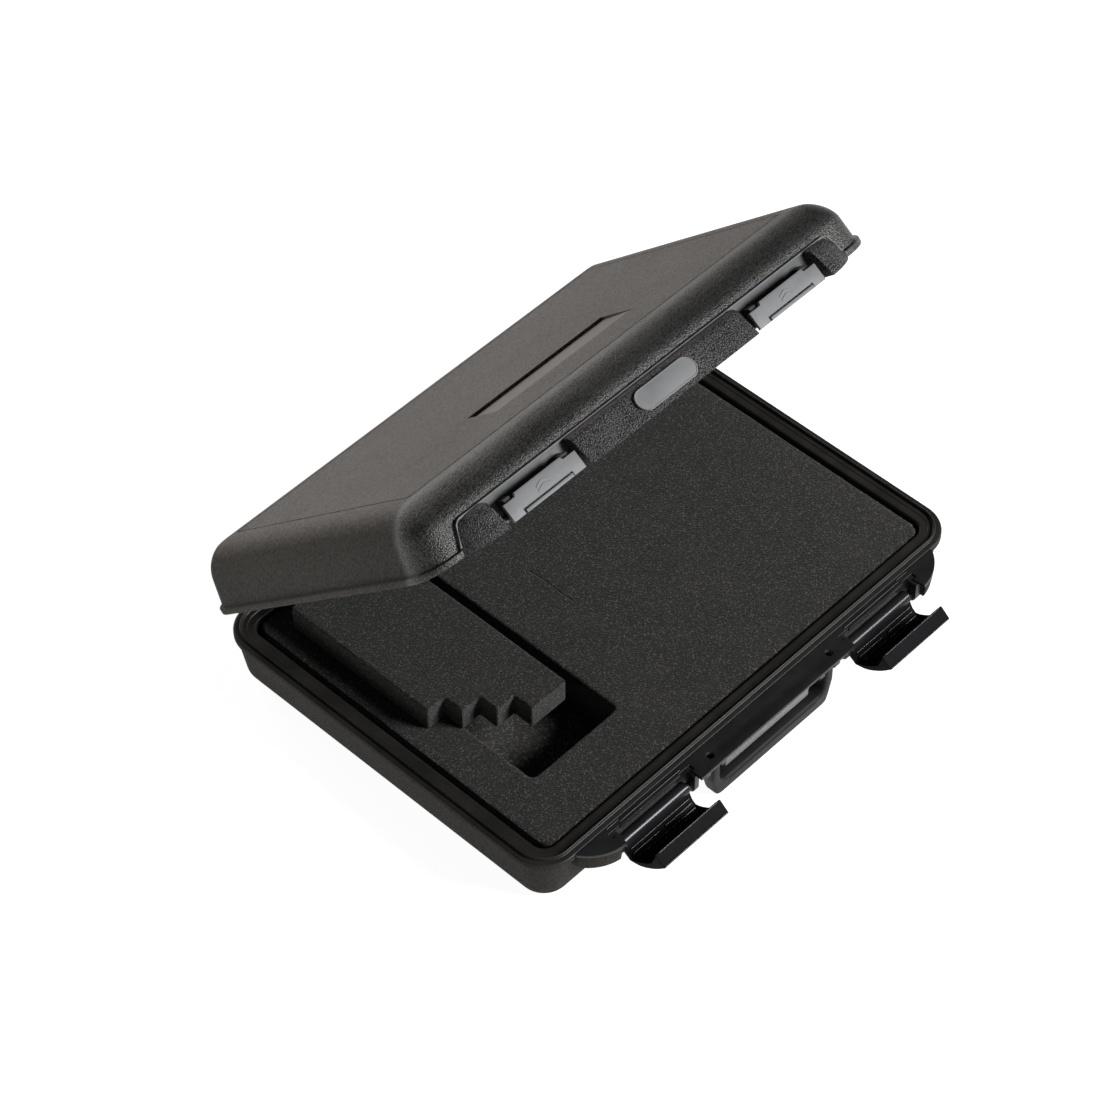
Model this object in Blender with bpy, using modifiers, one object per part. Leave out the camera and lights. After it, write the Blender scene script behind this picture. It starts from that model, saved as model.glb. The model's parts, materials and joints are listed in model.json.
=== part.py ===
"""Hard equipment case: a shallow two-part plastic case with a foam lining.

Metres, +Z up. The origin is the centre of the base's flat underside, the front (latches and
handle) looks towards -Y and the lid hinges along +Y. The lid stands part open, both latches
hang open on their stops and the carrying handle hangs down.
"""

import math

import bmesh
import bpy

# Case body, in plan and in height
HALF_X = 0.160
HALF_Y = 0.1185
CORNER_RADIUS = 0.020
CORNER_STEPS = 5
RIM_Z = 0.0354
BEAD_HEIGHT = 0.004
CLOSING_GAP = 0.0004

# Base walls, floor and rim
BASE_BEAD_PROUD = 0.0015
BASE_DRAFT = 0.151
BASE_FILLET = 0.009
FLOOR_Z = 0.0028
FLOOR_FILLET = 0.002
FLANGE_INSET = 0.012
RIDGE_INSETS = (0.0035, 0.0047)
RIDGE_HEIGHT = 0.0018

# Lid walls, top and rim, as heights above the rim plane
LID_HEIGHT = 0.0338
LID_BEAD_PROUD = 0.002
LID_DRAFT = 0.214
LID_FILLET = 0.0193
LID_WALL = 0.003
LID_CEILING = 0.0292
LID_LAND_INSET = 0.008
LID_LAND_TOP = 0.0056
LID_WALL_LOW = 0.0074
GROOVE_INSETS = (0.003, 0.0054)
GROOVE_TOP = 0.004
FILLET_STEPS = 6

# Hinge at the back
HINGE_Y = 0.1252
HINGE_Z = 0.0324
OPEN_ANGLE = math.radians(43.93)
HINGE_X = 0.087
KNUCKLE_RADIUS = 0.005
LID_BARREL = 0.030
BASE_EAR = 0.008
EAR_GAP = 0.0006
EAR_ROOT = (0.114, 0.016, 0.031)
BARREL_ARM = (0.0360, 0.0392)
BARREL_ROOT_Y = 0.1165
HINGE_PIN_RADIUS = 0.002
HINGE_BORE_WALL = 0.001
PIN_CLEARANCE = 0.0004

# Front ledge and its latch slots
LEDGE_Y = -0.1325
LEDGE_DROP = 0.0002
LEDGE_THICKNESS = 0.002
LEDGE_END_X = 0.138
LEDGE_ARC_X = 0.114
LEDGE_ARC_RADIUS = 0.0286
LEDGE_ARC_STEPS = 6
FRONT_ROOT_Y = -0.112
SLOT_X = (0.060, 0.115)
SLOT_Y = -0.123
SLOT_POCKETS = (("inner_pocket_", 0.0618), ("outer_pocket_", 0.1139))
SLOT_POCKET_HALF = 0.004
SLOT_POCKET_Y = (-0.1252, -0.1220)
ALIGNMENT_HOLE = (0.0461, -0.12575)
ALIGNMENT_HOLE_RADIUS = 0.002
BUMPER_X = 0.118
BUMPER_DROP = 0.0125
BUMPER_DRAFT = 0.0012
BOSS_HALF = 0.0295
BOSS_Y = -0.125
BOSS_LOW = 0.012
BOSS_EDGE = 0.0015

# Latches
LATCH_X = 0.0873
LATCH_WIDTH = 0.048
LATCH_PIVOT = (-0.1245, 0.0244)
BARREL_RADIUS = 0.0038
LATCH_PIN_RADIUS = 0.0015
LATCH_PIN_X = (0.0592, 0.1170)
LATCH_SIDE = 0.0022
LATCH_LUG_RADIUS = 0.0045
LATCH_LUGS = (("latch_inner_lug_", 0.0578, 0.0614), ("latch_outer_lug_", 0.1132, 0.1186))

# The open latch in section, as (y, z) from its pivot: the outer skin from the lip to the barrel
LATCH_SKIN = [
    (-0.0295, 0.0055), (-0.0265, 0.0020), (-0.0225, -0.0015), (-0.0182, -0.0048),
    (-0.0140, -0.0073), (-0.0100, -0.0088), (-0.0060, -0.0095),
]
LATCH_HEEL = [(-0.0010, -0.0060), (0.0020, -0.0020), (-0.0020, 0.0010)]
LATCH_TROUGH = [
    (-0.0050, -0.0050), (-0.0080, -0.0074), (-0.0133, -0.0056), (-0.0172, -0.0034),
    (-0.0213, -0.0003), (-0.0248, 0.0032), (-0.0269, 0.0054),
]
LATCH_LIP = [(-0.0225, 0.0099), (-0.0231, 0.0107)]
LATCH_WALL_TOP = [
    (-0.0050, -0.0075), (-0.0115, -0.0058), (-0.0157, -0.0031),
    (-0.0195, 0.0005), (-0.0220, 0.0057), (-0.0234, 0.0105),
]

# Catch plates, pedestals and the blocks on the lid's front. Heights are above the rim plane
CATCH_HALF = 0.0245
CATCH_TOP_HALF = 0.0157
CATCH_LOW = 0.0014
CATCH_NOTCH = 0.0112
CATCH_HIGH = 0.0130
CATCH_LEAN = 0.0023
CATCH_THICKNESS = 0.002
CATCH_FOOT_Y = -0.1295
PEDESTAL_HALF = 0.021
PEDESTAL = [(-0.1271, 0.0016), (-0.1246, 0.0127), (-0.1170, 0.0132), (-0.1170, 0.0016)]
PANEL_Y = -0.1182
PANEL_BOTTOM = 0.0030
PANEL_TOP = 0.0175
CENTRE_BLOCK_HALF = 0.060
EAR_BLOCK_X = 0.1148
BLOCK_TOP = 0.0165
BLOCK_BOTTOM = 0.0008
BLOCK_FRONT_Y = -0.1314
BLOCK_SLOPE = 0.493
BLOCK_CHAMFER = (0.0012, 0.0150)
EAR_SET_BACK = 0.0008
EAR_BACK_Y = (-0.1170, -0.1132)
WALL_FOOT = (0.0049, 0.0056)
LABEL_HALF = 0.049
LABEL_BACK = (-0.029, 0.0320)
LABEL_FRONT = (-0.0695, 0.0339)
GASKET_INSETS = (0.00335, 0.00505)
GASKET_HEIGHTS = (0.0022, 0.0037)

# Name plate
PLATE_HALF_LENGTH = 0.0203
PLATE_HALF_HEIGHT = 0.006
PLATE_THICKNESS = 0.0012
PLATE_HEIGHT = 0.0088

# Carrying handle
HANDLE_PIVOT = (-0.125, 0.0254)
HANDLE_DEPTH = 0.0084
HANDLE_TOP = 0.0042
HANDLE_OUTSIDE = [(0.0472, -0.0085), (0.0450, -0.0150), (0.0415, -0.0205), (0.0360, -0.0246)]
HANDLE_INSIDE = [(0.0372, -0.0150), (0.0400, -0.0125), (0.0412, -0.0090)]
HANDLE_PIN_RADIUS = 0.0015
HANDLE_PIN_X = (0.0380, 0.0512)
HANDLE_LUG_RADIUS = 0.0040
HANDLE_LUGS = (("handle_inner_lug_", 0.0366, 0.0404), ("handle_outer_lug_", 0.0484, 0.0524))

# Foam, with half sizes as (x, y)
FOAM_BOTTOM = 0.0057
FOAM_TOP = 0.0339
INSERT_LOW_HALF = (0.1427, 0.1012)
INSERT_TOP_HALF = (0.1442, 0.1054)
INSERT_CORNER = 0.006
PAD_HALF = (0.141, 0.0995)
PAD_CORNER = 0.004
LID_PAD_SECTIONS = ((0.018, 0.0092), (0.024, 0.0120), (0.0288, 0.0185))
PLUCK = 0.0125
POCKET_X = -0.1176
POCKET_Y = -0.0694
POCKET_COLUMNS = 5
POCKET_ROWS = 11
BLOCK_X = -0.1318
BLOCK_Y = -0.0093
BLOCK_THICKNESS = 0.0157

# Air between two parts that sit together, overlap of shapes that are joined, reach of a cutter
PART_GAP = 0.0003
OVERLAP = 0.001
OVERCUT = 0.002


def clear_scene():
    for obj in list(bpy.data.objects):
        bpy.data.objects.remove(obj, do_unlink=True)
    for collection in list(bpy.data.collections):
        bpy.data.collections.remove(collection)


def make_collection(name, hidden):
    collection = bpy.data.collections.new(name)
    collection.hide_render = hidden
    bpy.context.scene.collection.children.link(collection)
    return collection


def make_material(name, colour, roughness, metallic=0.0):
    material = bpy.data.materials.new(name)
    material.use_nodes = True
    shader = material.node_tree.nodes["Principled BSDF"]
    shader.inputs["Base Color"].default_value = (*colour, 1.0)
    shader.inputs["Roughness"].default_value = roughness
    shader.inputs["Metallic"].default_value = metallic
    material.diffuse_color = (*colour, 1.0)
    return material


def make_object(name, mesh, collection, material=None, location=(0, 0, 0), parent=None):
    obj = bpy.data.objects.new(name, mesh)
    collection.objects.link(obj)
    obj.location = location
    obj.parent = parent
    if material:
        mesh.materials.append(material)
    return obj


def helper(name, mesh, location=(0, 0, 0), parent=None):
    """A shape that a Boolean joins to a part or cuts from it."""
    obj = make_object(name, mesh, HELPERS, location=location, parent=parent)
    obj.hide_render = True
    obj.display_type = "WIRE"
    return obj


def boolean(obj, other, operation):
    modifier = obj.modifiers.new(other.name, "BOOLEAN")
    modifier.operation = operation
    modifier.solver = "EXACT"
    modifier.object = other


def bevelled(obj, width, segments=2, angle=35):
    modifier = obj.modifiers.new("edges", "BEVEL")
    modifier.width = width
    modifier.segments = segments
    modifier.limit_method = "ANGLE"
    modifier.angle_limit = math.radians(angle)


def smooth(mesh, angle=30):
    mesh.shade_smooth()
    mesh.set_sharp_from_angle(angle=math.radians(angle))


def arc(centre, radius, start, end, steps):
    """Points on a circle from one angle to another, both in degrees."""
    points = []
    for step in range(steps + 1):
        angle = math.radians(start + (end - start) * step / steps)
        points.append((centre[0] + radius * math.cos(angle), centre[1] + radius * math.sin(angle)))
    return points


def rounded_rectangle(half_x, half_y, radius):
    points = []
    for turn, (side_x, side_y) in enumerate(((1, 1), (-1, 1), (-1, -1), (1, -1))):
        centre = (side_x * (half_x - radius), side_y * (half_y - radius))
        points += arc(centre, radius, 90 * turn, 90 * turn + 90, CORNER_STEPS)
    return points


def rim_ring(inset, z):
    """The case's outline moved inwards by an inset, at one height."""
    radius = max(CORNER_RADIUS - inset, 0.0035)
    return [(x, y, z) for x, y in rounded_rectangle(HALF_X - inset, HALF_Y - inset, radius)]


def loft(name, rings, closed=False):
    """A solid through rings of equal length, with end caps or, when closed, back to the first."""
    bm = bmesh.new()
    loops = [[bm.verts.new(point) for point in ring] for ring in rings]
    pairs = list(zip(loops, loops[1:]))
    if closed:
        pairs.append((loops[-1], loops[0]))
    else:
        bm.faces.new(loops[0])
        bm.faces.new(loops[-1])
    for lower, upper in pairs:
        for index in range(len(lower)):
            after = (index + 1) % len(lower)
            bm.faces.new((lower[index], lower[after], upper[after], upper[index]))
    bm.normal_update()
    bmesh.ops.recalc_face_normals(bm, faces=bm.faces)
    mesh = bpy.data.meshes.new(name)
    bm.to_mesh(mesh)
    bm.free()
    return mesh


def outline_mesh(name, outline, low, high, plane="XY"):
    """A flat outline extruded from low to high along the axis that its plane leaves out."""
    curve = bpy.data.curves.new(name + "_outline", "CURVE")
    curve.dimensions = "2D"
    curve.fill_mode = "BOTH"
    curve.extrude = (high - low) / 2
    spline = curve.splines.new("POLY")
    spline.points.add(len(outline) - 1)
    for point, (u, v) in zip(spline.points, outline):
        point.co = (u, v, 0, 1)
    spline.use_cyclic_u = True
    guide = bpy.data.objects.new(name + "_guide", curve)
    HELPERS.objects.link(guide)
    bpy.context.view_layer.update()
    graph = bpy.context.evaluated_depsgraph_get()
    mesh = bpy.data.meshes.new_from_object(guide.evaluated_get(graph))
    bpy.data.objects.remove(guide)
    bpy.data.curves.remove(curve)
    mesh.name = name
    middle = (low + high) / 2
    bm = bmesh.new()
    bm.from_mesh(mesh)
    bmesh.ops.remove_doubles(bm, verts=bm.verts, dist=1e-6)
    for vert in bm.verts:
        u, v, depth = vert.co
        if plane == "XY":
            vert.co = (u, v, depth + middle)
        elif plane == "YZ":
            vert.co = (depth + middle, u, v)
        else:
            vert.co = (u, depth + middle, v)
    bm.normal_update()
    bmesh.ops.recalc_face_normals(bm, faces=bm.faces)
    bm.to_mesh(mesh)
    bm.free()
    return mesh


def box_mesh(name, low, high):
    bm = bmesh.new()
    bmesh.ops.create_cube(bm, size=1)
    for vert in bm.verts:
        for axis in range(3):
            vert.co[axis] = high[axis] if vert.co[axis] > 0 else low[axis]
    mesh = bpy.data.meshes.new(name)
    bm.to_mesh(mesh)
    bm.free()
    return mesh


def rod_mesh(name, low_x, high_x, y, z, radius, sides=20):
    """A cylinder along X."""
    bm = bmesh.new()
    bmesh.ops.create_cone(
        bm, cap_ends=True, segments=sides, radius1=radius, radius2=radius, depth=high_x - low_x
    )
    for vert in bm.verts:
        across, up, along = vert.co
        vert.co = ((low_x + high_x) / 2 + along, y + across, z + up)
    bm.normal_update()
    bmesh.ops.recalc_face_normals(bm, faces=bm.faces)
    mesh = bpy.data.meshes.new(name)
    bm.to_mesh(mesh)
    bm.free()
    return mesh


def span(side, near, far):
    """An X range on the left (-1) or the right (1), from distances to the middle plane."""
    return (near, far) if side > 0 else (-far, -near)


def side_name(side):
    return "right" if side > 0 else "left"


def ledge_arc(push=0.0):
    """The ledge's rounded front end on the right, from its straight front to its end."""
    centre_y = LEDGE_Y + LEDGE_ARC_RADIUS
    radius = LEDGE_ARC_RADIUS - push
    reach = LEDGE_END_X - push - LEDGE_ARC_X
    end = math.degrees(math.asin(reach / radius)) - 90
    return arc((LEDGE_ARC_X, centre_y), radius, -90, end, LEDGE_ARC_STEPS)


def base_profile():
    """(inset, z) from the flat underside up the outer wall, over the rim and down to the floor."""
    lean = math.atan(BASE_DRAFT)
    bead_z = RIM_Z - BEAD_HEIGHT
    tangent_z = BASE_FILLET * (1 - math.sin(lean))
    wall_inset = BASE_BEAD_PROUD + (bead_z - tangent_z) * BASE_DRAFT
    centre = (wall_inset + BASE_FILLET * math.cos(lean), BASE_FILLET)
    profile = arc(centre, BASE_FILLET, -90, -180 + math.degrees(lean), 5)
    profile += [(BASE_BEAD_PROUD, bead_z), (0.0003, bead_z), (0.0, bead_z + 0.0003)]
    profile += [(0.0, RIM_Z - 0.0006), (0.0006, RIM_Z)]
    profile += [(RIDGE_INSETS[0], RIM_Z), (RIDGE_INSETS[0], RIM_Z + RIDGE_HEIGHT)]
    profile += [(RIDGE_INSETS[1], RIM_Z + RIDGE_HEIGHT), (RIDGE_INSETS[1], RIM_Z)]
    profile += [(FLANGE_INSET, RIM_Z)]
    floor_inset = FLANGE_INSET + (RIM_Z - FLOOR_Z - FLOOR_FILLET) * BASE_DRAFT
    centre = (floor_inset + FLOOR_FILLET, FLOOR_Z + FLOOR_FILLET)
    profile += arc(centre, FLOOR_FILLET, 180, 270, 3)
    return profile


def lug_outline(pivot, radius, top):
    """A hanging lug with a round nose about a pivot, running back into the front wall."""
    nose = arc(pivot, radius, 180, 300, 6)
    root_low = pivot[1] - 1.5 * radius
    return [(pivot[0] - radius, top)] + nose + [(FRONT_ROOT_Y, root_low), (FRONT_ROOT_Y, top)]


def base_ear_outline():
    """A hinge ear: a round eye about the hinge axis with a web down the back wall."""
    eye = arc((HINGE_Y, HINGE_Z), KNUCKLE_RADIUS, -50, 180, 12)
    root_y, low, high = EAR_ROOT
    return [(root_y, low)] + eye + [(eye[-1][0], high), (root_y, high)]


def make_base(material):
    rings = [rim_ring(inset, z) for inset, z in base_profile()]
    base = make_object("base_shell", loft("base_shell", rings), PARTS, material)
    top = RIM_Z - LEDGE_DROP
    under = top - LEDGE_THICKNESS

    right = ledge_arc()
    ledge = [(-x, y) for x, y in reversed(right)] + right
    ledge += [(LEDGE_END_X, FRONT_ROOT_Y), (-LEDGE_END_X, FRONT_ROOT_Y)]
    boolean(base, helper("ledge", outline_mesh("ledge", ledge, under, top)), "UNION")

    boss_low = (-BOSS_HALF, BOSS_Y, BOSS_LOW)
    boss_high = (BOSS_HALF, FRONT_ROOT_Y, under + OVERLAP)
    boss = helper("boss", box_mesh("boss", boss_low, boss_high))
    bevelled(boss, BOSS_EDGE)
    boolean(base, boss, "UNION")

    for side in (-1, 1):
        name = side_name(side)
        bumper_rings = []
        for z, push in ((under + OVERLAP, LEDGE_DROP), (top - BUMPER_DROP, BUMPER_DRAFT)):
            front = [(x, y) for x, y in ledge_arc(push) if x > BUMPER_X]
            start = (BUMPER_X, LEDGE_Y + push + PART_GAP)
            end = (LEDGE_END_X - push, FRONT_ROOT_Y)
            outline = [(BUMPER_X, FRONT_ROOT_Y), start] + front[-4:] + [end]
            bumper_rings.append([(side * x, y, z) for x, y in outline])
        boolean(base, helper("bumper_" + name, loft("bumper_" + name, bumper_rings)), "UNION")

        latch_lug = lug_outline(LATCH_PIVOT, LATCH_LUG_RADIUS, under + OVERLAP)
        handle_lug = lug_outline(HANDLE_PIVOT, HANDLE_LUG_RADIUS, under + OVERLAP)
        for outline, lugs in ((latch_lug, LATCH_LUGS), (handle_lug, HANDLE_LUGS)):
            for lug_name, near, far in lugs:
                lug = outline_mesh(lug_name + name, outline, *span(side, near, far), plane="YZ")
                boolean(base, helper(lug_name + name, lug), "UNION")

        first_ear = HINGE_X - LID_BARREL / 2 - EAR_GAP - BASE_EAR
        second_ear = HINGE_X + LID_BARREL / 2 + EAR_GAP
        for ear_name, near in (("inner_ear_", first_ear), ("outer_ear_", second_ear)):
            reach = span(side, near, near + BASE_EAR)
            ear = outline_mesh(ear_name + name, base_ear_outline(), *reach, plane="YZ")
            boolean(base, helper(ear_name + name, ear), "UNION")

        cut_low = under - 2 * PART_GAP
        cut_high = top + OVERCUT
        slot = span(side, *SLOT_X)
        slot_low = (slot[0], LEDGE_Y - OVERCUT, cut_low)
        slot_box = box_mesh("latch_slot_" + name, slot_low, (slot[1], SLOT_Y, cut_high))
        boolean(base, helper("latch_slot_" + name, slot_box), "DIFFERENCE")
        for pocket_name, middle in SLOT_POCKETS:
            pocket = span(side, middle - SLOT_POCKET_HALF, middle + SLOT_POCKET_HALF)
            pocket_low = (pocket[0], SLOT_POCKET_Y[0], cut_low)
            pocket_high = (pocket[1], SLOT_POCKET_Y[1], cut_high)
            pocket_box = box_mesh(pocket_name + name, pocket_low, pocket_high)
            boolean(base, helper(pocket_name + name, pocket_box), "DIFFERENCE")

        hole_centre = (side * ALIGNMENT_HOLE[0], ALIGNMENT_HOLE[1])
        hole = arc(hole_centre, ALIGNMENT_HOLE_RADIUS, 0, 337.5, 15)
        hole_mesh = outline_mesh("alignment_hole_" + name, hole, cut_low, cut_high)
        boolean(base, helper("alignment_hole_" + name, hole_mesh), "DIFFERENCE")

        for pin_name, pivot, radius, (near, far) in pin_places():
            reach = span(side, near - PIN_CLEARANCE, far + PIN_CLEARANCE)
            bore_name = pin_name + "bore_" + name
            bore = rod_mesh(bore_name, *reach, *pivot, radius + PIN_CLEARANCE)
            boolean(base, helper(bore_name, bore), "DIFFERENCE")


def pin_places():
    """(name, pivot, radius, reach in X on the right) of each kind of pin."""
    half = LID_BARREL / 2 + EAR_GAP + BASE_EAR - HINGE_BORE_WALL - PIN_CLEARANCE
    return (
        ("latch_pin_", LATCH_PIVOT, LATCH_PIN_RADIUS, LATCH_PIN_X),
        ("handle_pin_", HANDLE_PIVOT, HANDLE_PIN_RADIUS, HANDLE_PIN_X),
        ("hinge_pin_", (HINGE_Y, HINGE_Z), HINGE_PIN_RADIUS, (HINGE_X - half, HINGE_X + half)),
    )


def make_pins(material):
    for side in (-1, 1):
        for name, pivot, radius, reach in pin_places():
            low, high = span(side, *reach)
            middle = (low + high) / 2
            mesh = rod_mesh(name + side_name(side), low - middle, high - middle, 0, 0, radius, 16)
            smooth(mesh)
            make_object(name + side_name(side), mesh, PARTS, material, (middle, *pivot))


def lid_profile():
    """(inset, height above the rim plane) from the top over the wall and the rim to the ceiling."""
    lean = math.degrees(math.atan(LID_DRAFT))
    centre_z = LID_HEIGHT - LID_FILLET
    tangent_z = centre_z + LID_FILLET * math.sin(math.radians(lean))
    tangent_inset = LID_BEAD_PROUD + LID_DRAFT * (tangent_z - BEAD_HEIGHT)
    centre = (tangent_inset + LID_FILLET * math.cos(math.radians(lean)), centre_z)
    outer = arc(centre, LID_FILLET, 90, 180 - lean, FILLET_STEPS)
    rim = [(LID_BEAD_PROUD, BEAD_HEIGHT + 0.0003), (0.0006, BEAD_HEIGHT), (0.0, BEAD_HEIGHT - 0.0006)]
    rim += [(0.0, CLOSING_GAP + 0.0004), (0.0004, CLOSING_GAP), (GROOVE_INSETS[0], CLOSING_GAP)]
    rim += [(GROOVE_INSETS[0], GROOVE_TOP), (GROOVE_INSETS[1], GROOVE_TOP)]
    rim += [(GROOVE_INSETS[1], CLOSING_GAP), (LID_LAND_INSET, CLOSING_GAP)]
    rim += [(LID_LAND_INSET, LID_LAND_TOP)]
    inner_radius = LID_FILLET - LID_WALL
    ceiling = 180 - math.degrees(math.asin((LID_CEILING - centre_z) / inner_radius))
    wall_inset = LID_BEAD_PROUD + LID_DRAFT * (LID_WALL_LOW - BEAD_HEIGHT) + LID_WALL
    inner = arc(centre, inner_radius, 180 - lean, ceiling, FILLET_STEPS - 1)
    return outer + rim + [(wall_inset, LID_WALL_LOW)] + inner


def from_hinge(points):
    """Moves (y, height above the rim plane) to the lid's own axes, whose origin is the hinge."""
    return [(y - HINGE_Y, height + RIM_Z - HINGE_Z) for y, height in points]


def lid_barrel_outline():
    eye = arc((0, 0), KNUCKLE_RADIUS, 134, 420, 14)
    arm_low, arm_high = (z - HINGE_Z for z in BARREL_ARM)
    root_y = BARREL_ROOT_Y - HINGE_Y
    return [(root_y, arm_low)] + eye + [(-0.001, arm_high), (root_y, arm_high)]


def block_front_y(height):
    """How far forward the sloping front of the lid's blocks is at one height."""
    return BLOCK_FRONT_Y + BLOCK_SLOPE * (height - BLOCK_BOTTOM)


def ear_block_rings(side):
    """Sections of the block at the lid's front corner, which follows the ledge's rounded end."""
    rings = []
    for height, back_y, pull in (
        (BLOCK_BOTTOM, EAR_BACK_Y[0], 0),
        (WALL_FOOT[0], EAR_BACK_Y[0], 0),
        (WALL_FOOT[1], EAR_BACK_Y[1], 0),
        (BLOCK_CHAMFER[1] - LEDGE_DROP, EAR_BACK_Y[1], 0),
        (BLOCK_TOP, EAR_BACK_Y[1], EAR_SET_BACK),
    ):
        back_set = block_front_y(height) - BLOCK_FRONT_Y + EAR_SET_BACK + pull
        last_y = back_y - EAR_SET_BACK
        front = [(max(x, EAR_BLOCK_X), min(y + back_set, last_y)) for x, y in ledge_arc()]
        outline = [(EAR_BLOCK_X, back_y)] + front + [(LEDGE_END_X, back_y)]
        local = from_hinge([(y, height) for x, y in outline])
        rings.append([(side * x, y, z) for (x, _), (y, z) in zip(outline, local)])
    return rings


def make_lid(material, hinge):
    lift = RIM_Z - HINGE_Z
    rings = [rim_ring(inset, height + lift) for inset, height in lid_profile()]
    rings = [[(x, y - HINGE_Y, z) for x, y, z in ring] for ring in rings]
    lid = make_object("lid_shell", loft("lid_shell", rings), PARTS, material, parent=hinge)

    near_y, far_y = EAR_BACK_Y
    root_y = near_y + 2 * PART_GAP
    panel = from_hinge([
        (PANEL_Y, PANEL_BOTTOM), (PANEL_Y, PANEL_TOP), (far_y, PANEL_TOP),
        (far_y, WALL_FOOT[1]), (root_y, WALL_FOOT[0]), (root_y, PANEL_BOTTOM),
    ])
    panel_mesh = outline_mesh("front_panel", panel, -LEDGE_END_X, LEDGE_END_X, plane="YZ")
    boolean(lid, helper("front_panel", panel_mesh, parent=hinge), "UNION")

    chamfer, shoulder = BLOCK_CHAMFER
    centre = from_hinge([
        (BLOCK_FRONT_Y, BLOCK_BOTTOM), (block_front_y(shoulder), shoulder),
        (block_front_y(shoulder) + chamfer, BLOCK_TOP), (far_y - PART_GAP, BLOCK_TOP),
        (far_y - PART_GAP, WALL_FOOT[1]), (near_y + PART_GAP, WALL_FOOT[0]),
        (near_y + PART_GAP, BLOCK_BOTTOM),
    ])
    reach = (-CENTRE_BLOCK_HALF, CENTRE_BLOCK_HALF)
    centre_mesh = outline_mesh("centre_block", centre, *reach, plane="YZ")
    boolean(lid, helper("centre_block", centre_mesh, parent=hinge), "UNION")

    for side in (-1, 1):
        name = side_name(side)
        ear = loft("ear_block_" + name, ear_block_rings(side))
        boolean(lid, helper("ear_block_" + name, ear, parent=hinge), "UNION")

        pedestal = from_hinge(PEDESTAL)
        reach = span(side, LATCH_X - PEDESTAL_HALF, LATCH_X + PEDESTAL_HALF)
        pedestal_mesh = outline_mesh("catch_pedestal_" + name, pedestal, *reach, plane="YZ")
        boolean(lid, helper("catch_pedestal_" + name, pedestal_mesh, parent=hinge), "UNION")

        reach = span(side, HINGE_X - LID_BARREL / 2, HINGE_X + LID_BARREL / 2)
        barrel = outline_mesh("lid_barrel_" + name, lid_barrel_outline(), *reach, plane="YZ")
        boolean(lid, helper("lid_barrel_" + name, barrel, parent=hinge), "UNION")
        reach = (reach[0] - OVERCUT, reach[1] + OVERCUT)
        bore = rod_mesh("lid_bore_" + name, *reach, 0, 0, HINGE_PIN_RADIUS + PIN_CLEARANCE)
        boolean(lid, helper("lid_bore_" + name, bore, parent=hinge), "DIFFERENCE")

    recess_top = LID_HEIGHT + OVERCUT
    recess = from_hinge([LABEL_BACK, LABEL_FRONT, (LABEL_FRONT[0], recess_top), (LABEL_BACK[0], recess_top)])
    recess_mesh = outline_mesh("label_recess", recess, -LABEL_HALF, LABEL_HALF, plane="YZ")
    boolean(lid, helper("label_recess", recess_mesh, parent=hinge), "DIFFERENCE")


def make_gasket(material, hinge):
    low, high = (height + RIM_Z - HINGE_Z for height in GASKET_HEIGHTS)
    outer, inner = GASKET_INSETS
    corners = ((outer, low), (inner, low), (inner, high), (outer, high))
    rings = [[(x, y - HINGE_Y, z) for x, y, z in rim_ring(inset, z)] for inset, z in corners]
    make_object("lid_gasket", loft("lid_gasket", rings, closed=True), PARTS, material, parent=hinge)


def make_catches(material, hinge):
    """A sloping plate in front of each pedestal, with its top corners notched."""
    lean = math.atan2(CATCH_LEAN, CATCH_HIGH - CATCH_LOW)
    notch = CATCH_NOTCH - CATCH_LOW
    high = CATCH_HIGH - CATCH_LOW
    notch_half = CATCH_TOP_HALF + 0.001
    outline = [(-CATCH_HALF, 0), (CATCH_HALF, 0), (CATCH_HALF, notch), (notch_half, notch)]
    outline += [(CATCH_TOP_HALF, high), (-CATCH_TOP_HALF, high), (-notch_half, notch)]
    outline += [(-CATCH_HALF, notch)]
    for side in (-1, 1):
        mesh = outline_mesh("latch_catch", outline, 0, CATCH_THICKNESS, plane="XZ")
        foot = from_hinge([(CATCH_FOOT_Y, CATCH_LOW)])[0]
        name = "latch_catch_" + side_name(side)
        catch = make_object(name, mesh, PARTS, material, (side * LATCH_X, *foot), hinge)
        catch.rotation_euler.x = -lean


def make_name_plate(material, hinge):
    """A blank oval plate, parallel to the centre block's sloping face."""
    straight = PLATE_HALF_LENGTH - PLATE_HALF_HEIGHT
    oval = arc((straight, 0), PLATE_HALF_HEIGHT, -90, 90, 10)
    oval += arc((-straight, 0), PLATE_HALF_HEIGHT, 90, 270, 10)
    mesh = outline_mesh("name_plate", oval, 0, PLATE_THICKNESS, plane="XZ")
    slope = math.atan(BLOCK_SLOPE)
    off_face = PART_GAP + PLATE_THICKNESS
    plate_y = block_front_y(PLATE_HEIGHT) - off_face * math.cos(slope)
    place = from_hinge([(plate_y, PLATE_HEIGHT + off_face * math.sin(slope))])[0]
    plate = make_object("name_plate", mesh, PARTS, material, (0, *place), hinge)
    plate.rotation_euler.x = -slope
    bevelled(plate, PART_GAP, 1)


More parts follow.
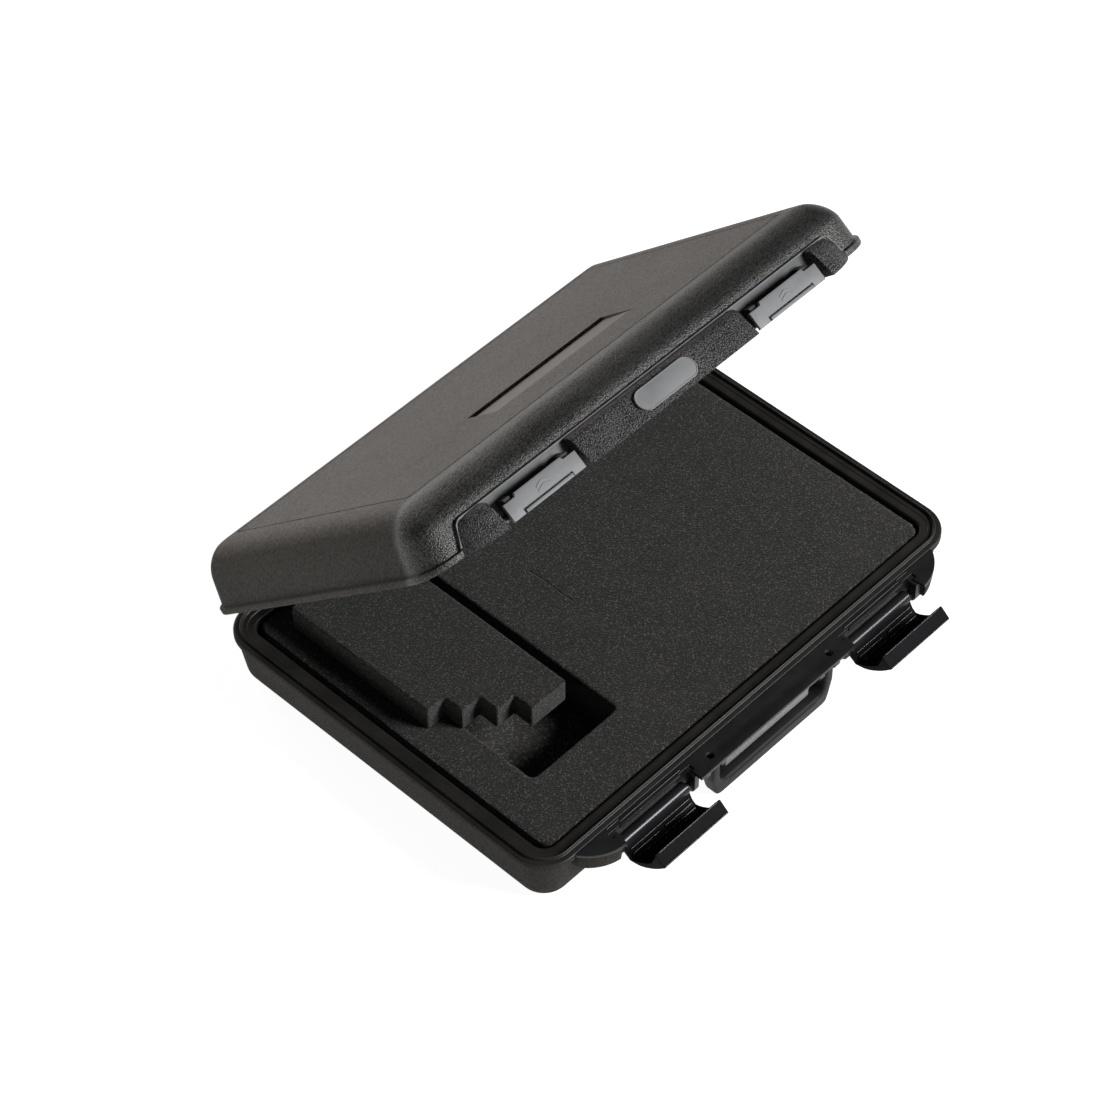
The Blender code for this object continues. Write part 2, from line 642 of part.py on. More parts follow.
def make_latches(material):
    """Each latch hangs open: a curved plate with a hooked lip, side walls and a barrel."""
    plate = LATCH_SKIN + LATCH_HEEL + LATCH_TROUGH + LATCH_LIP
    wall = LATCH_SKIN + LATCH_WALL_TOP
    half = LATCH_WIDTH / 2
    for side in (-1, 1):
        name = "latch_" + side_name(side)
        origin = (side * LATCH_X, *LATCH_PIVOT)
        mesh = outline_mesh(name, plate, -half + 0.0001, half - 0.0001, plane="YZ")
        latch = make_object(name, mesh, PARTS, material, origin)
        barrel = rod_mesh(name + "_barrel", PART_GAP - half, half - PART_GAP, 0, 0, BARREL_RADIUS)
        boolean(latch, helper(name + "_barrel", barrel, origin), "UNION")
        for end in (-1, 1):
            reach = span(end, half - LATCH_SIDE, half)
            end_name = name + "_wall_" + side_name(end)
            side_wall = outline_mesh(end_name, wall, *reach, plane="YZ")
            boolean(latch, helper(end_name, side_wall, origin), "UNION")
        reach = (-half - OVERCUT, half + OVERCUT)
        bore = rod_mesh(name + "_bore", *reach, 0, 0, LATCH_PIN_RADIUS + PIN_CLEARANCE)
        boolean(latch, helper(name + "_bore", bore, origin), "DIFFERENCE")


def make_handle(material):
    """A flat loop that hangs from two pins and tapers down to a straight grip."""
    top_inner = (HANDLE_INSIDE[-1][0], HANDLE_TOP)
    top_outer = (HANDLE_OUTSIDE[0][0], HANDLE_TOP)
    half = [top_inner, top_outer] + HANDLE_OUTSIDE
    outline = half + [(-x, z) for x, z in reversed(half)]
    outline += [(-x, z) for x, z in reversed(HANDLE_INSIDE)] + HANDLE_INSIDE
    depth = HANDLE_DEPTH / 2
    mesh = outline_mesh("carry_handle", outline, -depth, depth, plane="XZ")
    handle = make_object("carry_handle", mesh, PARTS, material, (0, *HANDLE_PIVOT))
    for side in (-1, 1):
        name = "handle_eye_" + side_name(side)
        reach = span(side, top_inner[0] - OVERCUT, top_outer[0] + OVERCUT)
        eye = rod_mesh(name, *reach, 0, 0, HANDLE_PIN_RADIUS + PIN_CLEARANCE)
        boolean(handle, helper(name, eye, (0, *HANDLE_PIVOT)), "DIFFERENCE")


def foam_ring(half_x, half_y, radius, z):
    return [(x, y, z) for x, y in rounded_rectangle(half_x, half_y, radius)]


def make_foam(material, hinge):
    """The insert with its pocket, the pad under it, the lifted block and the lid's lining."""
    low_ring = foam_ring(*INSERT_LOW_HALF, INSERT_CORNER, FOAM_BOTTOM)
    top_ring = foam_ring(*INSERT_TOP_HALF, INSERT_CORNER, FOAM_TOP)
    insert = make_object("foam_insert", loft("foam_insert", [low_ring, top_ring]), PARTS, material)
    pocket_low = (POCKET_X, POCKET_Y, FOAM_BOTTOM - OVERCUT)
    pocket_high = (
        POCKET_X + POCKET_COLUMNS * PLUCK, POCKET_Y + POCKET_ROWS * PLUCK, FOAM_TOP + OVERCUT
    )
    pocket = box_mesh("foam_pocket", pocket_low, pocket_high)
    boolean(insert, helper("foam_pocket", pocket), "DIFFERENCE")

    pad_heights = (FLOOR_Z + PART_GAP, FOAM_BOTTOM - PART_GAP)
    rings = [foam_ring(*PAD_HALF, PAD_CORNER, z) for z in pad_heights]
    make_object("foam_bottom_pad", loft("foam_bottom_pad", rings), PARTS, material)

    steps = [(0, 0), (PLUCK, 0), (PLUCK, -PLUCK), (2 * PLUCK, -PLUCK), (2 * PLUCK, -2 * PLUCK)]
    steps += [(3 * PLUCK, -2 * PLUCK), (3 * PLUCK, -3 * PLUCK), (5 * PLUCK, -3 * PLUCK)]
    back = (POCKET_ROWS - 3) * PLUCK
    steps += [(5 * PLUCK, back), (0, back)]
    block = outline_mesh("foam_block", steps, PART_GAP, PART_GAP + BLOCK_THICKNESS)
    make_object("foam_block", block, PARTS, material, (BLOCK_X, BLOCK_Y, FOAM_TOP))

    lift = RIM_Z - HINGE_Z
    rings = [rim_ring(inset, height + lift) for height, inset in LID_PAD_SECTIONS]
    rings = [[(x, y - HINGE_Y, z) for x, y, z in ring] for ring in rings]
    make_object("lid_foam_pad", loft("lid_foam_pad", rings), PARTS, material, parent=hinge)


def main():
    shell = make_material("textured_shell", (0.045, 0.044, 0.042), 0.6)
    gloss = make_material("latch_plastic", (0.018, 0.018, 0.019), 0.3)
    catch = make_material("catch_plastic", (0.13, 0.13, 0.135), 0.4)
    steel = make_material("pin_steel", (0.55, 0.55, 0.56), 0.35, 1.0)
    rubber = make_material("gasket_rubber", (0.02, 0.02, 0.02), 0.7)
    foam = make_material("foam", (0.036, 0.035, 0.034), 0.95)

    hinge = bpy.data.objects.new("lid_hinge_axis", None)
    PARTS.objects.link(hinge)
    hinge.location = (0, HINGE_Y, HINGE_Z)
    hinge.rotation_euler.x = -OPEN_ANGLE

    make_base(shell)
    make_pins(steel)
    make_lid(shell, hinge)
    make_gasket(rubber, hinge)
    make_catches(catch, hinge)
    make_name_plate(catch, hinge)
    make_latches(gloss)
    make_handle(shell)
    make_foam(foam, hinge)


clear_scene()
PARTS = make_collection("hard_equipment_case", hidden=False)
HELPERS = make_collection("cutters", hidden=True)
main()
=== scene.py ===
import json
from math import asin, atan, atan2, cos, degrees, pi, radians, sin

import bmesh
import bpy
from mathutils import Matrix, Quaternion, Vector, noise


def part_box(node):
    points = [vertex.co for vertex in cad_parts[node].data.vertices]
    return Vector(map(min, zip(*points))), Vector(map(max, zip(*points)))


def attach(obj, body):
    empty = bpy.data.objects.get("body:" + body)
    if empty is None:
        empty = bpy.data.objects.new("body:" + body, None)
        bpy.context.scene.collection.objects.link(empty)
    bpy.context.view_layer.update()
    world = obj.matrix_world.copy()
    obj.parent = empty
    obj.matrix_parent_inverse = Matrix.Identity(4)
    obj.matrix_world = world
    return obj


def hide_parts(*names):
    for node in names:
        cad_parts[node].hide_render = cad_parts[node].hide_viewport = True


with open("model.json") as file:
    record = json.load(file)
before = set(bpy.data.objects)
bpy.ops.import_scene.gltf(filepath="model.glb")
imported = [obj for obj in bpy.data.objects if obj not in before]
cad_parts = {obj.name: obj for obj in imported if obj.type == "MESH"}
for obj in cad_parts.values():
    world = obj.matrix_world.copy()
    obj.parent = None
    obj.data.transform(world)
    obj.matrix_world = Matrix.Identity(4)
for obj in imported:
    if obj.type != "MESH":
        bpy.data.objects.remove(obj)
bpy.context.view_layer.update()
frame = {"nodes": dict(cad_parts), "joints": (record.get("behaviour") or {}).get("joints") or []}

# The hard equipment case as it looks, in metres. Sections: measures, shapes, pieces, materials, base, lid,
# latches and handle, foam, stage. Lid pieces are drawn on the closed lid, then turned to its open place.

# The frame's own measures
JOINTS = {joint["name"]: joint for joint in frame["joints"]}
HINGE = Vector(JOINTS["lid_hinge"]["pos_m"])
OPEN_ANGLE = radians(-JOINTS["lid_hinge"]["range_deg"][0])
LATCH_PIVOT = Vector(JOINTS["latch_right_pivot"]["pos_m"])
HANDLE_PIVOT = Vector(JOINTS["handle_pivot"]["pos_m"])
BASE_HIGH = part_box("base_shell")[1]
FOAM_LOW, FOAM_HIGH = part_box("foam_insert")
BLOCK_LOW, BLOCK_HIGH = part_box("foam_block")
LID_OPEN = Matrix.Translation(HINGE) @ Matrix.Rotation(-OPEN_ANGLE, 4, "X") @ Matrix.Translation(-HINGE)
SIDES = ((-1, "left"), (1, "right"))

# Rim, in plan and in height
RIDGE_HEIGHT = 0.0018
RIM_Z = BASE_HIGH.z - RIDGE_HEIGHT
HALF_X = BASE_HIGH.x
HALF_Y = 0.1185
CORNER_RADIUS = 0.02
TIGHTEST_CORNER = 0.0035
BEAD_HEIGHT = 0.004
FLANGE_INSET = 0.012

# Base walls
BASE_DRAFT = 0.151
BASE_FILLET = 0.009
BASE_WALL_INSET = 0.0015
FLOOR_Z = 0.0028
FLOOR_FILLET = 0.002

# Lid, as heights above the rim and insets from it
LID_HEIGHT = 0.0338
LID_TOP = RIM_Z + LID_HEIGHT
LID_DRAFT = 0.214
LID_FILLET = 0.0193
LID_WALL = 0.003
LID_WALL_INSET = 0.002
LID_WALL_LOW = 0.0074
LID_CEILING = 0.0292
LID_LAND = (0.008, 0.0056)
CLOSING_GAP = 0.0004
GROOVE_INSETS = (0.003, 0.0054)
GROOVE_TOP = 0.004
FRONT_FULLNESS = 0.0028

# Top of the lid: the crease and the label recess
CREASE_HALF = (0.133, 0.0915)
CREASE_CORNER = 0.0015
CREASE_WIDE = 0.001
CREASE_DEEP = 0.0007
RECESS_HALF = 0.049
RECESS_Y = (-0.0675, -0.0565, -0.029)
RECESS_FLOOR = (0.0341, 0.0335, 0.0321)

# Front of the base: ledge, bumpers, lugs and boss
LEDGE_Y = -0.1325
LEDGE_TOP = RIM_Z - 0.0002
LEDGE_UNDER = LEDGE_TOP - 0.002
LEDGE_END_X = 0.138
LEDGE_ARC_X = 0.114
LEDGE_ARC_RADIUS = 0.0286
LEDGE_ROOT_Y = -0.1172
SLOT_X = (0.06, 0.115)
SLOT_Y = -0.123
POCKET_X = (0.0618, 0.1139)
POCKET_HALF = 0.004
POCKET_Y = (-0.1252, -0.122)
FRONT_ROOT_Y = -0.1135
BUMPER_X = 0.118

# Front of the lid: panel, blocks and catches
PANEL_Y = -0.1178
PANEL_TOP = 0.0175
BLOCK_FOOT_Y = -0.1314
BLOCK_TOP = 0.0165
BLOCK_BOTTOM = 0.0008
BLOCK_SLOPE = 0.493
BLOCK_HALF = 0.06
EAR_X = 0.1148

# Foam
PLUCK = 0.0125
WOBBLE_SEED = 4
WOBBLE_SCALE = 45


# ---------------- shapes

def arc(centre, radius, start, end, steps):
    """Points on a circle from one angle to another, both in degrees."""
    points = []
    for step in range(steps + 1):
        angle = radians(start + (end - start) * step / steps)
        points.append((centre[0] + radius * cos(angle), centre[1] + radius * sin(angle)))
    return points


def flowing(points, steps=5):
    """A smooth open line through the points (Catmull-Rom)."""
    ends = [points[0]] + list(points) + [points[-1]]
    line = []
    for index in range(len(points) - 1):
        p0, p1, p2, p3 = (Vector(p) for p in ends[index:index + 4])
        for step in range(steps):
            t = step / steps
            point = 2 * p1 + (p2 - p0) * t + (2 * p0 - 5 * p1 + 4 * p2 - p3) * t * t
            point += (3 * p1 - p0 - 3 * p2 + p3) * t * t * t
            line.append(tuple(point / 2))
    return line + [tuple(points[-1])]


def rectangle(low_u, high_u, low_v, high_v):
    return [(low_u, low_v), (high_u, low_v), (high_u, high_v), (low_u, high_v)]


def rounded_rectangle(half_x, half_y, radius, steps=12):
    points = []
    for turn, (side_x, side_y) in enumerate(((1, 1), (-1, 1), (-1, -1), (1, -1))):
        centre = (side_x * (half_x - radius), side_y * (half_y - radius))
        points += arc(centre, radius, 90 * turn, 90 * turn + 90, steps)
    return points


def rim_ring(inset, z):
    """The rim's outline drawn in by inset, at one height."""
    radius = max(CORNER_RADIUS - inset, TIGHTEST_CORNER)
    return [(x, y, z) for x, y in rounded_rectangle(HALF_X - inset, HALF_Y - inset, radius)]


def span(side, near, far):
    """The stretch along X between two distances from the middle, on one side."""
    return (near, far) if side > 0 else (-far, -near)


def both_sides(outline, near, far, edge=0.0003):
    """An outline seen from the right, made a plate on each side of the middle."""
    return [flat_mesh([outline], *span(side, near, far), "YZ", edge) for side, _ in SIDES]


def mirrored(outline):
    return [(-x, v) for x, v in outline]


def loose(name, data):
    obj = bpy.data.objects.new(name, data)
    bpy.context.scene.collection.objects.link(obj)
    return obj


def emptied(bm):
    mesh = bpy.data.meshes.new("shape")
    bm.to_mesh(mesh)
    bm.free()
    return mesh


def mesh_from(bm):
    bm.normal_update()
    bmesh.ops.recalc_face_normals(bm, faces=bm.faces)
    return emptied(bm)


def loft(rings, closed=False, marks=None):
    """A solid through rings of equal length. marks gives the material index between each pair of rings."""
    marks = marks or [0] * len(rings)
    bm = bmesh.new()
    loops = [[bm.verts.new(point) for point in ring] for ring in rings]
    pairs = list(zip(loops, loops[1:]))
    if closed:
        pairs.append((loops[-1], loops[0]))
    else:
        bm.faces.new(loops[0]).material_index = marks[0]
        bm.faces.new(loops[-1]).material_index = marks[-1]
    for row, (lower, upper) in enumerate(pairs):
        for index in range(len(lower)):
            after = (index + 1) % len(lower)
            corners = (lower[index], lower[after], upper[after], upper[index])
            bm.faces.new(corners).material_index = marks[row]
    return mesh_from(bm)


def evaluated_mesh(obj):
    bpy.context.view_layer.update()
    graph = bpy.context.evaluated_depsgraph_get()
    return bpy.data.meshes.new_from_object(obj.evaluated_get(graph))


def filled_outline(outlines, depth, edge):
    """Outlines (the first outside, the others holes) made a plate of that depth with rounded edges."""
    curve = bpy.data.curves.new("outline", "CURVE")
    curve.dimensions = "2D"
    curve.fill_mode = "BOTH"
    curve.extrude = depth / 2 - edge
    curve.bevel_depth = edge
    curve.bevel_resolution = 2
    curve.offset = -edge
    for outline in outlines:
        spline = curve.splines.new("POLY")
        spline.points.add(len(outline) - 1)
        for point, (u, v) in zip(spline.points, outline):
            point.co = (u, v, 0, 1)
        spline.use_cyclic_u = True
    guide = loose("guide", curve)
    mesh = evaluated_mesh(guide)
    bpy.data.objects.remove(guide)
    bpy.data.curves.remove(curve)
    return mesh


def flat_mesh(outlines, low, high, plane="XY", edge=0.0003):
    """Outlines in a plane, extruded across it from low to high with rounded edges."""
    plate = filled_outline(outlines, high - low, edge)
    bm = bmesh.new()
    bm.from_mesh(plate)
    bpy.data.meshes.remove(plate)
    bmesh.ops.remove_doubles(bm, verts=bm.verts, dist=1e-6)
    middle = (low + high) / 2
    for vert in bm.verts:
        u, v, depth = vert.co
        w = depth + middle
        vert.co = {"XY": (u, v, w), "YZ": (w, u, v), "XZ": (u, w, v)}[plane]
    return mesh_from(bm)


def box_mesh(low, high):
    bm = bmesh.new()
    bmesh.ops.create_cube(bm, size=1)
    for vert in bm.verts:
        for axis in range(3):
            vert.co[axis] = high[axis] if vert.co[axis] > 0 else low[axis]
    return mesh_from(bm)


def rod_mesh(low_x, high_x, y, z, radius, sides=32, chamfer=0.0002):
    """A cylinder along X with chamfered ends."""
    tip = radius - chamfer
    rings = []
    for x, r in ((low_x, tip), (low_x + chamfer, radius), (high_x - chamfer, radius), (high_x, tip)):
        rings.append([(x, y + u, z + v) for u, v in arc((0, 0), r, 0, 360 - 360 / sides, sides - 1)])
    return loft(rings)


def joined(meshes):
    """Several closed meshes as one."""
    bm = bmesh.new()
    for mesh in meshes:
        bm.from_mesh(mesh)
        bpy.data.meshes.remove(mesh)
    return emptied(bm)


# ---------------- pieces

def mesh_of(obj):
    """The object's mesh, with the object itself taken away."""
    mesh = obj.data
    bpy.data.objects.remove(obj)
    return mesh


def settle(obj):
    """Applies the object's modifiers."""
    mesh = evaluated_mesh(obj)
    obj.modifiers.clear()
    obj.data = mesh


def cut_away(obj, cutters):
    for cutter in cutters:
        modifier = obj.modifiers.new(cutter.name, "BOOLEAN")
        modifier.operation = "DIFFERENCE"
        modifier.solver = "EXACT"
        modifier.object = cutter
    settle(obj)
    for cutter in cutters:
        bpy.data.objects.remove(cutter)


def round_edges(obj, width):
    modifier = obj.modifiers.new("edges", "BEVEL")
    modifier.width = width
    modifier.segments = 3
    modifier.limit_method = "ANGLE"
    modifier.angle_limit = radians(32)
    modifier.miter_outer = "MITER_ARC"
    settle(obj)


def piece(name, mesh, body, slot, materials, lid=False, bevel=0.0, smooth=35, stands_for=()):
    """A finished piece: bevelled, moved to the lid's open place if asked, shaded and put on its body."""
    obj = loose(name, mesh)
    if bevel:
        round_edges(obj, bevel)
    if lid:
        obj.data.transform(LID_OPEN)
    if not obj.data.materials:
        for material in materials:
            obj.data.materials.append(material)
    obj.data.name = name
    obj.data.shade_smooth()
    obj.data.set_sharp_from_angle(angle=radians(smooth))
    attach(obj, body)
    if stands_for:
        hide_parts(*stands_for)
    return obj


def base_piece(name, mesh, *materials, **options):
    return piece(name, mesh, "base", "shell_plastic", materials, **options)


def lid_piece(name, mesh, *materials, **options):
    return piece(name, mesh, "lid", "shell_plastic", materials, lid=True, **options)


# ---------------- materials

class Nodes:
    """A small helper that adds nodes to a material's Principled shader."""

    def __init__(self, name, **uniform):
        self.material = bpy.data.materials.new(name)
        self.material.use_nodes = True
        self.tree = self.material.node_tree
        self.shader = self.tree.nodes["Principled BSDF"]
        for socket, value in uniform.items():
            self.shader.inputs[socket.replace("_", " ")].default_value = value
        self.place = self.add("ShaderNodeTexCoord").outputs["Object"]

    def add(self, kind, **values):
        node = self.tree.nodes.new(kind)
        for key, value in values.items():
            if hasattr(node, key):
                setattr(node, key, value)
            else:
                node.inputs[key.replace("_", " ")].default_value = value
        return node

    def link(self, source, target):
        self.tree.links.new(source, target)

    def noise(self, scale, detail=3.0, roughness=0.55):
        node = self.add("ShaderNodeTexNoise", Scale=scale, Detail=detail, Roughness=roughness)
        self.link(self.place, node.inputs["Vector"])
        return node.outputs["Fac"]

    def cells(self, scale, feature="F1", randomness=1.0, smoothness=None):
        node = self.add("ShaderNodeTexVoronoi", feature=feature, Scale=scale, Randomness=randomness)
        if smoothness is not None:
            node.inputs["Smoothness"].default_value = smoothness
        self.link(self.place, node.inputs["Vector"])
        return node.outputs["Distance"]

    def remap(self, value, low, high, out_low=0.0, out_high=1.0):
        """Maps low to out_low and high to out_high, and holds still beyond them."""
        node = self.add("ShaderNodeMapRange")
        settings = {"From Min": low, "From Max": high, "To Min": out_low, "To Max": out_high}
        for socket, setting in settings.items():
            node.inputs[socket].default_value = setting
        self.link(value, node.inputs["Value"])
        return node.outputs["Result"]

    def math(self, operation, first, second):
        node = self.add("ShaderNodeMath", operation=operation)
        for socket, value in zip(node.inputs, (first, second)):
            if isinstance(value, (int, float)):
                socket.default_value = value
            else:
                self.link(value, socket)
        return node.outputs["Value"]

    def weighted(self, first, share, second, other_share):
        """The sum of two values, each times its share."""
        scaled = self.math("MULTIPLY", first, share)
        return self.math("ADD", scaled, self.math("MULTIPLY", second, other_share))

    def blend(self, factor, first, second):
        """A colour between two colours."""
        node = self.add("ShaderNodeMix", data_type="RGBA")
        self.link(factor, node.inputs["Factor"])
        for socket, value in ((node.inputs[6], first), (node.inputs[7], second)):
            if isinstance(value, tuple):
                socket.default_value = (*value, 1.0)
            else:
                self.link(value, socket)
        return node.outputs[2]

    def along_lid(self, lid_axis, start, finish):
        """Goes from 0 to 1 between two places measured along an axis of the closed lid."""
        axis = LID_OPEN.to_3x3() @ Vector(lid_axis)
        reach = self.add("ShaderNodeVectorMath", operation="DOT_PRODUCT")
        self.link(self.place, reach.inputs[0])
        reach.inputs[1].default_value = axis
        origin = (LID_OPEN @ Vector((0, 0, 0))).dot(axis)
        return self.remap(reach.outputs["Value"], start + origin, finish + origin)

    def pebbles(self, grain):
        """Height, painted pebble shade and fine noise of a pebbled skin whose pebbles are grain apart; the
        painted shade darkens the hollows between the pebbles and carries random clouds of tone.
        """
        domes = self.cells(1 / grain, "SMOOTH_F1", smoothness=0.6)
        fine = self.noise(1.6 / grain, 4.0)
        height = self.weighted(domes, -1.0, fine, 0.9)
        # Painted shade: lighter on the tops of the pebbles, darker in the hollows between them.
        painted_pebble_shade = self.math("SUBTRACT", self.math("MULTIPLY", fine, 0.75), self.math("MULTIPLY", domes, 0.35))
        clouds = self.noise(22, 3.0)
        tone = self.math("ADD", painted_pebble_shade, self.math("MULTIPLY", clouds, 0.2))
        return height, self.remap(tone, 0.2, 0.42), fine

    def bump(self, height, distance):
        node = self.add("ShaderNodeBump", Strength=1.0, Distance=distance)
        self.link(height, node.inputs["Height"])
        self.link(node.outputs["Normal"], self.shader.inputs["Normal"])

    def colour(self, output):
        self.link(output, self.shader.inputs["Base Color"])

    def rough(self, output):
        self.link(output, self.shader.inputs["Roughness"])

    def gloss(self, output):
        self.link(output, self.shader.inputs["Specular IOR Level"])


def pebbled(name, dark, light, grain, depth, roughness, gloss=(0.25, 0.75)):
    """Moulded plastic with a pebbled skin, matt between its pebbles and painted darker there as shade."""
    m = Nodes(name, Specular_Tint=(1.0, 0.96, 0.92, 1.0))
    height, painted_pebble_shade, fine = m.pebbles(grain)
    m.colour(m.blend(painted_pebble_shade, dark, light))
    m.rough(m.remap(fine, 0.3, 0.7, roughness - 0.1, roughness + 0.14))
    m.gloss(m.remap(painted_pebble_shade, 0.0, 1.0, *gloss))
    m.bump(height, depth)
    return m.material


def lid_skin(name, top, side, front):
    """The lid's plastic: matt and warm on its top and sides, and a shinier pebble along its front, in
    painted tones for how the light falls: lightest on its top, darker on its sides and darkest along its
    front.

    top, side and front are pairs of colours, dark and light.
    """
    m = Nodes(name, Specular_Tint=(1.0, 0.97, 0.94, 1.0))
    crease = CREASE_HALF[1]
    at_front = m.along_lid((0, -1, 0), crease + 0.001, crease + 0.007)
    high = m.along_lid((0, 0, 1), LID_TOP - 0.006, LID_TOP - 0.001)
    on_top = m.math("MULTIPLY", high, m.math("SUBTRACT", 1.0, at_front))
    height, painted_pebble_shade, fine = m.pebbles(0.0008)
    mottle = m.remap(m.noise(620, 3.0, 0.65), 0.42, 0.58)
    # Painted pebble shade mixed with random mottle, as the tone of the top and sides.
    painted_shade_and_mottle = m.weighted(painted_pebble_shade, 0.45, mottle, 0.55)
    # Painted light: the top takes the lighter top colours and the sides the darker side colours, for how
    # the light falls on each.
    painted_top_and_sides = m.blend(on_top, m.blend(painted_shade_and_mottle, *side), m.blend(painted_shade_and_mottle, *top))
    # Painted shade: the front takes the darkest colours.
    m.colour(m.blend(at_front, painted_top_and_sides, m.blend(painted_pebble_shade, *front)))
    matt = m.remap(at_front, 0.0, 1.0, 0.76, 0.38)
    matt = m.math("SUBTRACT", matt, m.math("MULTIPLY", on_top, 0.22))
    m.rough(m.math("ADD", m.remap(fine, 0.3, 0.7, -0.08, 0.12), matt))
    crown_gloss = m.math("MULTIPLY", painted_pebble_shade, m.remap(at_front, 0.0, 1.0, 0.1, 0.65))
    m.gloss(m.math("ADD", crown_gloss, m.remap(at_front, 0.0, 1.0, 0.12, 0.28)))
    m.bump(height, 0.0003)
    return m.material


def satin(name, dark, light, roughness, scuff=0.08, ripple=0.00002, gloss=0.5):
    """Smooth moulded plastic with faint handling marks."""
    m = Nodes(name, Specular_IOR_Level=gloss)
    haze = m.noise(60, 4.0)
    streaks = m.noise(420, 2.0)
    m.colour(m.blend(m.remap(haze, 0.35, 0.7), dark, light))
    wear = m.weighted(haze, 0.6, streaks, 0.4)
    m.rough(m.remap(wear, 0.3, 0.7, roughness - scuff / 2, roughness + scuff))
    m.bump(streaks, ripple)
    return m.material


def slit_shade_mask(m, clouds, slit):
    """1 on a thin wavering cut along Y, from low_y to high_y at slit_x, and 0 off it."""
    slit_x, low_y, high_y = slit
    split = m.add("ShaderNodeSeparateXYZ")
    m.link(m.place, split.inputs["Vector"])
    waver = m.math("MULTIPLY", m.math("SUBTRACT", clouds, 0.5), 0.003)
    off_line = m.math("SUBTRACT", m.math("ADD", split.outputs["X"], waver), slit_x)
    near_line = m.remap(m.math("ABSOLUTE", off_line, 0), 0.0002, 0.0006, 1.0, 0.0)
    off_middle = m.math("SUBTRACT", split.outputs["Y"], (low_y + high_y) / 2)
    half = (high_y - low_y) / 2
    inside = m.remap(m.math("ABSOLUTE", off_middle, 0), half - 0.003, half, 1.0, 0.0)
    return m.math("MULTIPLY", near_line, inside)


def open_cell_foam(name, dark, light, fleck, slit=None):
    """Charcoal foam: fine open cells, pale flecks where a cell wall catches the light, and a thin cut
    painted near-black as the shade inside it.
    """
    m = Nodes(name, Specular_IOR_Level=0.15, Sheen_Weight=0.12, Sheen_Roughness=0.6)
    cells = m.cells(1150)
    fine = m.noise(1700, 2.0, 0.7)
    clouds = m.noise(70, 3.0)
    body = m.blend(m.remap(m.weighted(fine, 0.7, clouds, 0.3), 0.36, 0.62), dark, light)
    flecks = m.weighted(m.noise(1000, 1.0, 0.4), 0.7, m.noise(420, 2.0), 0.3)
    face = m.blend(m.remap(flecks, 0.53, 0.67), body, fleck)
    height = m.math("SUBTRACT", fine, m.math("MULTIPLY", cells, 0.6))
    if slit:
        cut = slit_shade_mask(m, clouds, slit)
        # Painted shade: the slit is darkened to near-black, standing in for the shadow inside a cut that
        # has no depth of its own.
        face = m.blend(m.math("MULTIPLY", cut, 0.85), face, (0.004, 0.004, 0.004))
        height = m.math("SUBTRACT", height, m.math("MULTIPLY", cut, 2.0))
    m.colour(face)
    m.rough(m.remap(fine, 0.3, 0.7, 0.85, 1.0))
    m.bump(height, 0.0005)
    return m.material


def brushed_pin(name):
    m = Nodes(name, Metallic=1.0)
    turned = m.noise(900, 3.0)
    m.colour(m.blend(m.remap(turned, 0.3, 0.7), (0.42, 0.42, 0.43), (0.62, 0.62, 0.63)))
    m.rough(m.remap(turned, 0.3, 0.7, 0.28, 0.45))
    m.bump(turned, 0.00003)
    return m.material


def seal_rubber(name):
    m = Nodes(name, Specular_IOR_Level=0.35)
    dust = m.noise(300, 4.0)
    m.colour(m.blend(m.remap(dust, 0.35, 0.7), (0.012, 0.012, 0.012), (0.03, 0.03, 0.029)))
    m.rough(m.remap(dust, 0.3, 0.7, 0.6, 0.8))
    m.bump(dust, 0.00005)
    return m.material


# The lid's plastic, painted lightest on its top, darker on its sides and darkest along its front, for how
# the light falls on each.
SHELL = lid_skin(
    "lid_pebble", top=((0.047, 0.0411, 0.0356), (0.173, 0.153, 0.134)),
    side=((0.036, 0.0325, 0.0285), (0.081, 0.0735, 0.065)),
    front=((0.0068, 0.0066, 0.0062), (0.0325, 0.0318, 0.0308)))
# A finer-grained copy of the case's plastic, painted darker as shade that offsets the white floor's light
# on the base walls.
SHELL_FINE_SHADED = pebbled(
    "shell_fine_grain_shaded", (0.014, 0.0128, 0.011), (0.038, 0.0345, 0.03),
    grain=0.0007, depth=0.0002, roughness=0.74, gloss=(0.06, 0.18))
BLOCK = pebbled(
    "block_pebble", (0.008, 0.008, 0.0082), (0.056, 0.056, 0.057),
    grain=0.0008, depth=0.0004, roughness=0.42, gloss=(0.3, 0.85))
# The boss's light grey is partly its own colour and partly painted light, raised to make up for the ledge's
# shadow on it.
BOSS = pebbled(
    "boss_fine_grain_partly_painted_light", (0.114, 0.114, 0.114), (0.168, 0.168, 0.166),
    grain=0.0008, depth=0.0002, roughness=0.5)
RIM = satin("rim_smooth", (0.008, 0.008, 0.008), (0.0135, 0.0135, 0.013), roughness=0.38, gloss=0.32)
# The base rim's plastic, lighter and warmer than the lid's rim: partly its own colour, partly painted light
# on the flange.
BASE_RIM = satin(
    "base_rim_dull", (0.012, 0.0112, 0.01), (0.019, 0.0177, 0.0158), roughness=0.46, gloss=0.32)
LABEL = satin("recess_smooth", (0.13, 0.119, 0.107), (0.152, 0.139, 0.126), roughness=0.6)
PANEL = satin("panel_smooth", (0.036, 0.036, 0.037), (0.047, 0.047, 0.048), roughness=0.54)
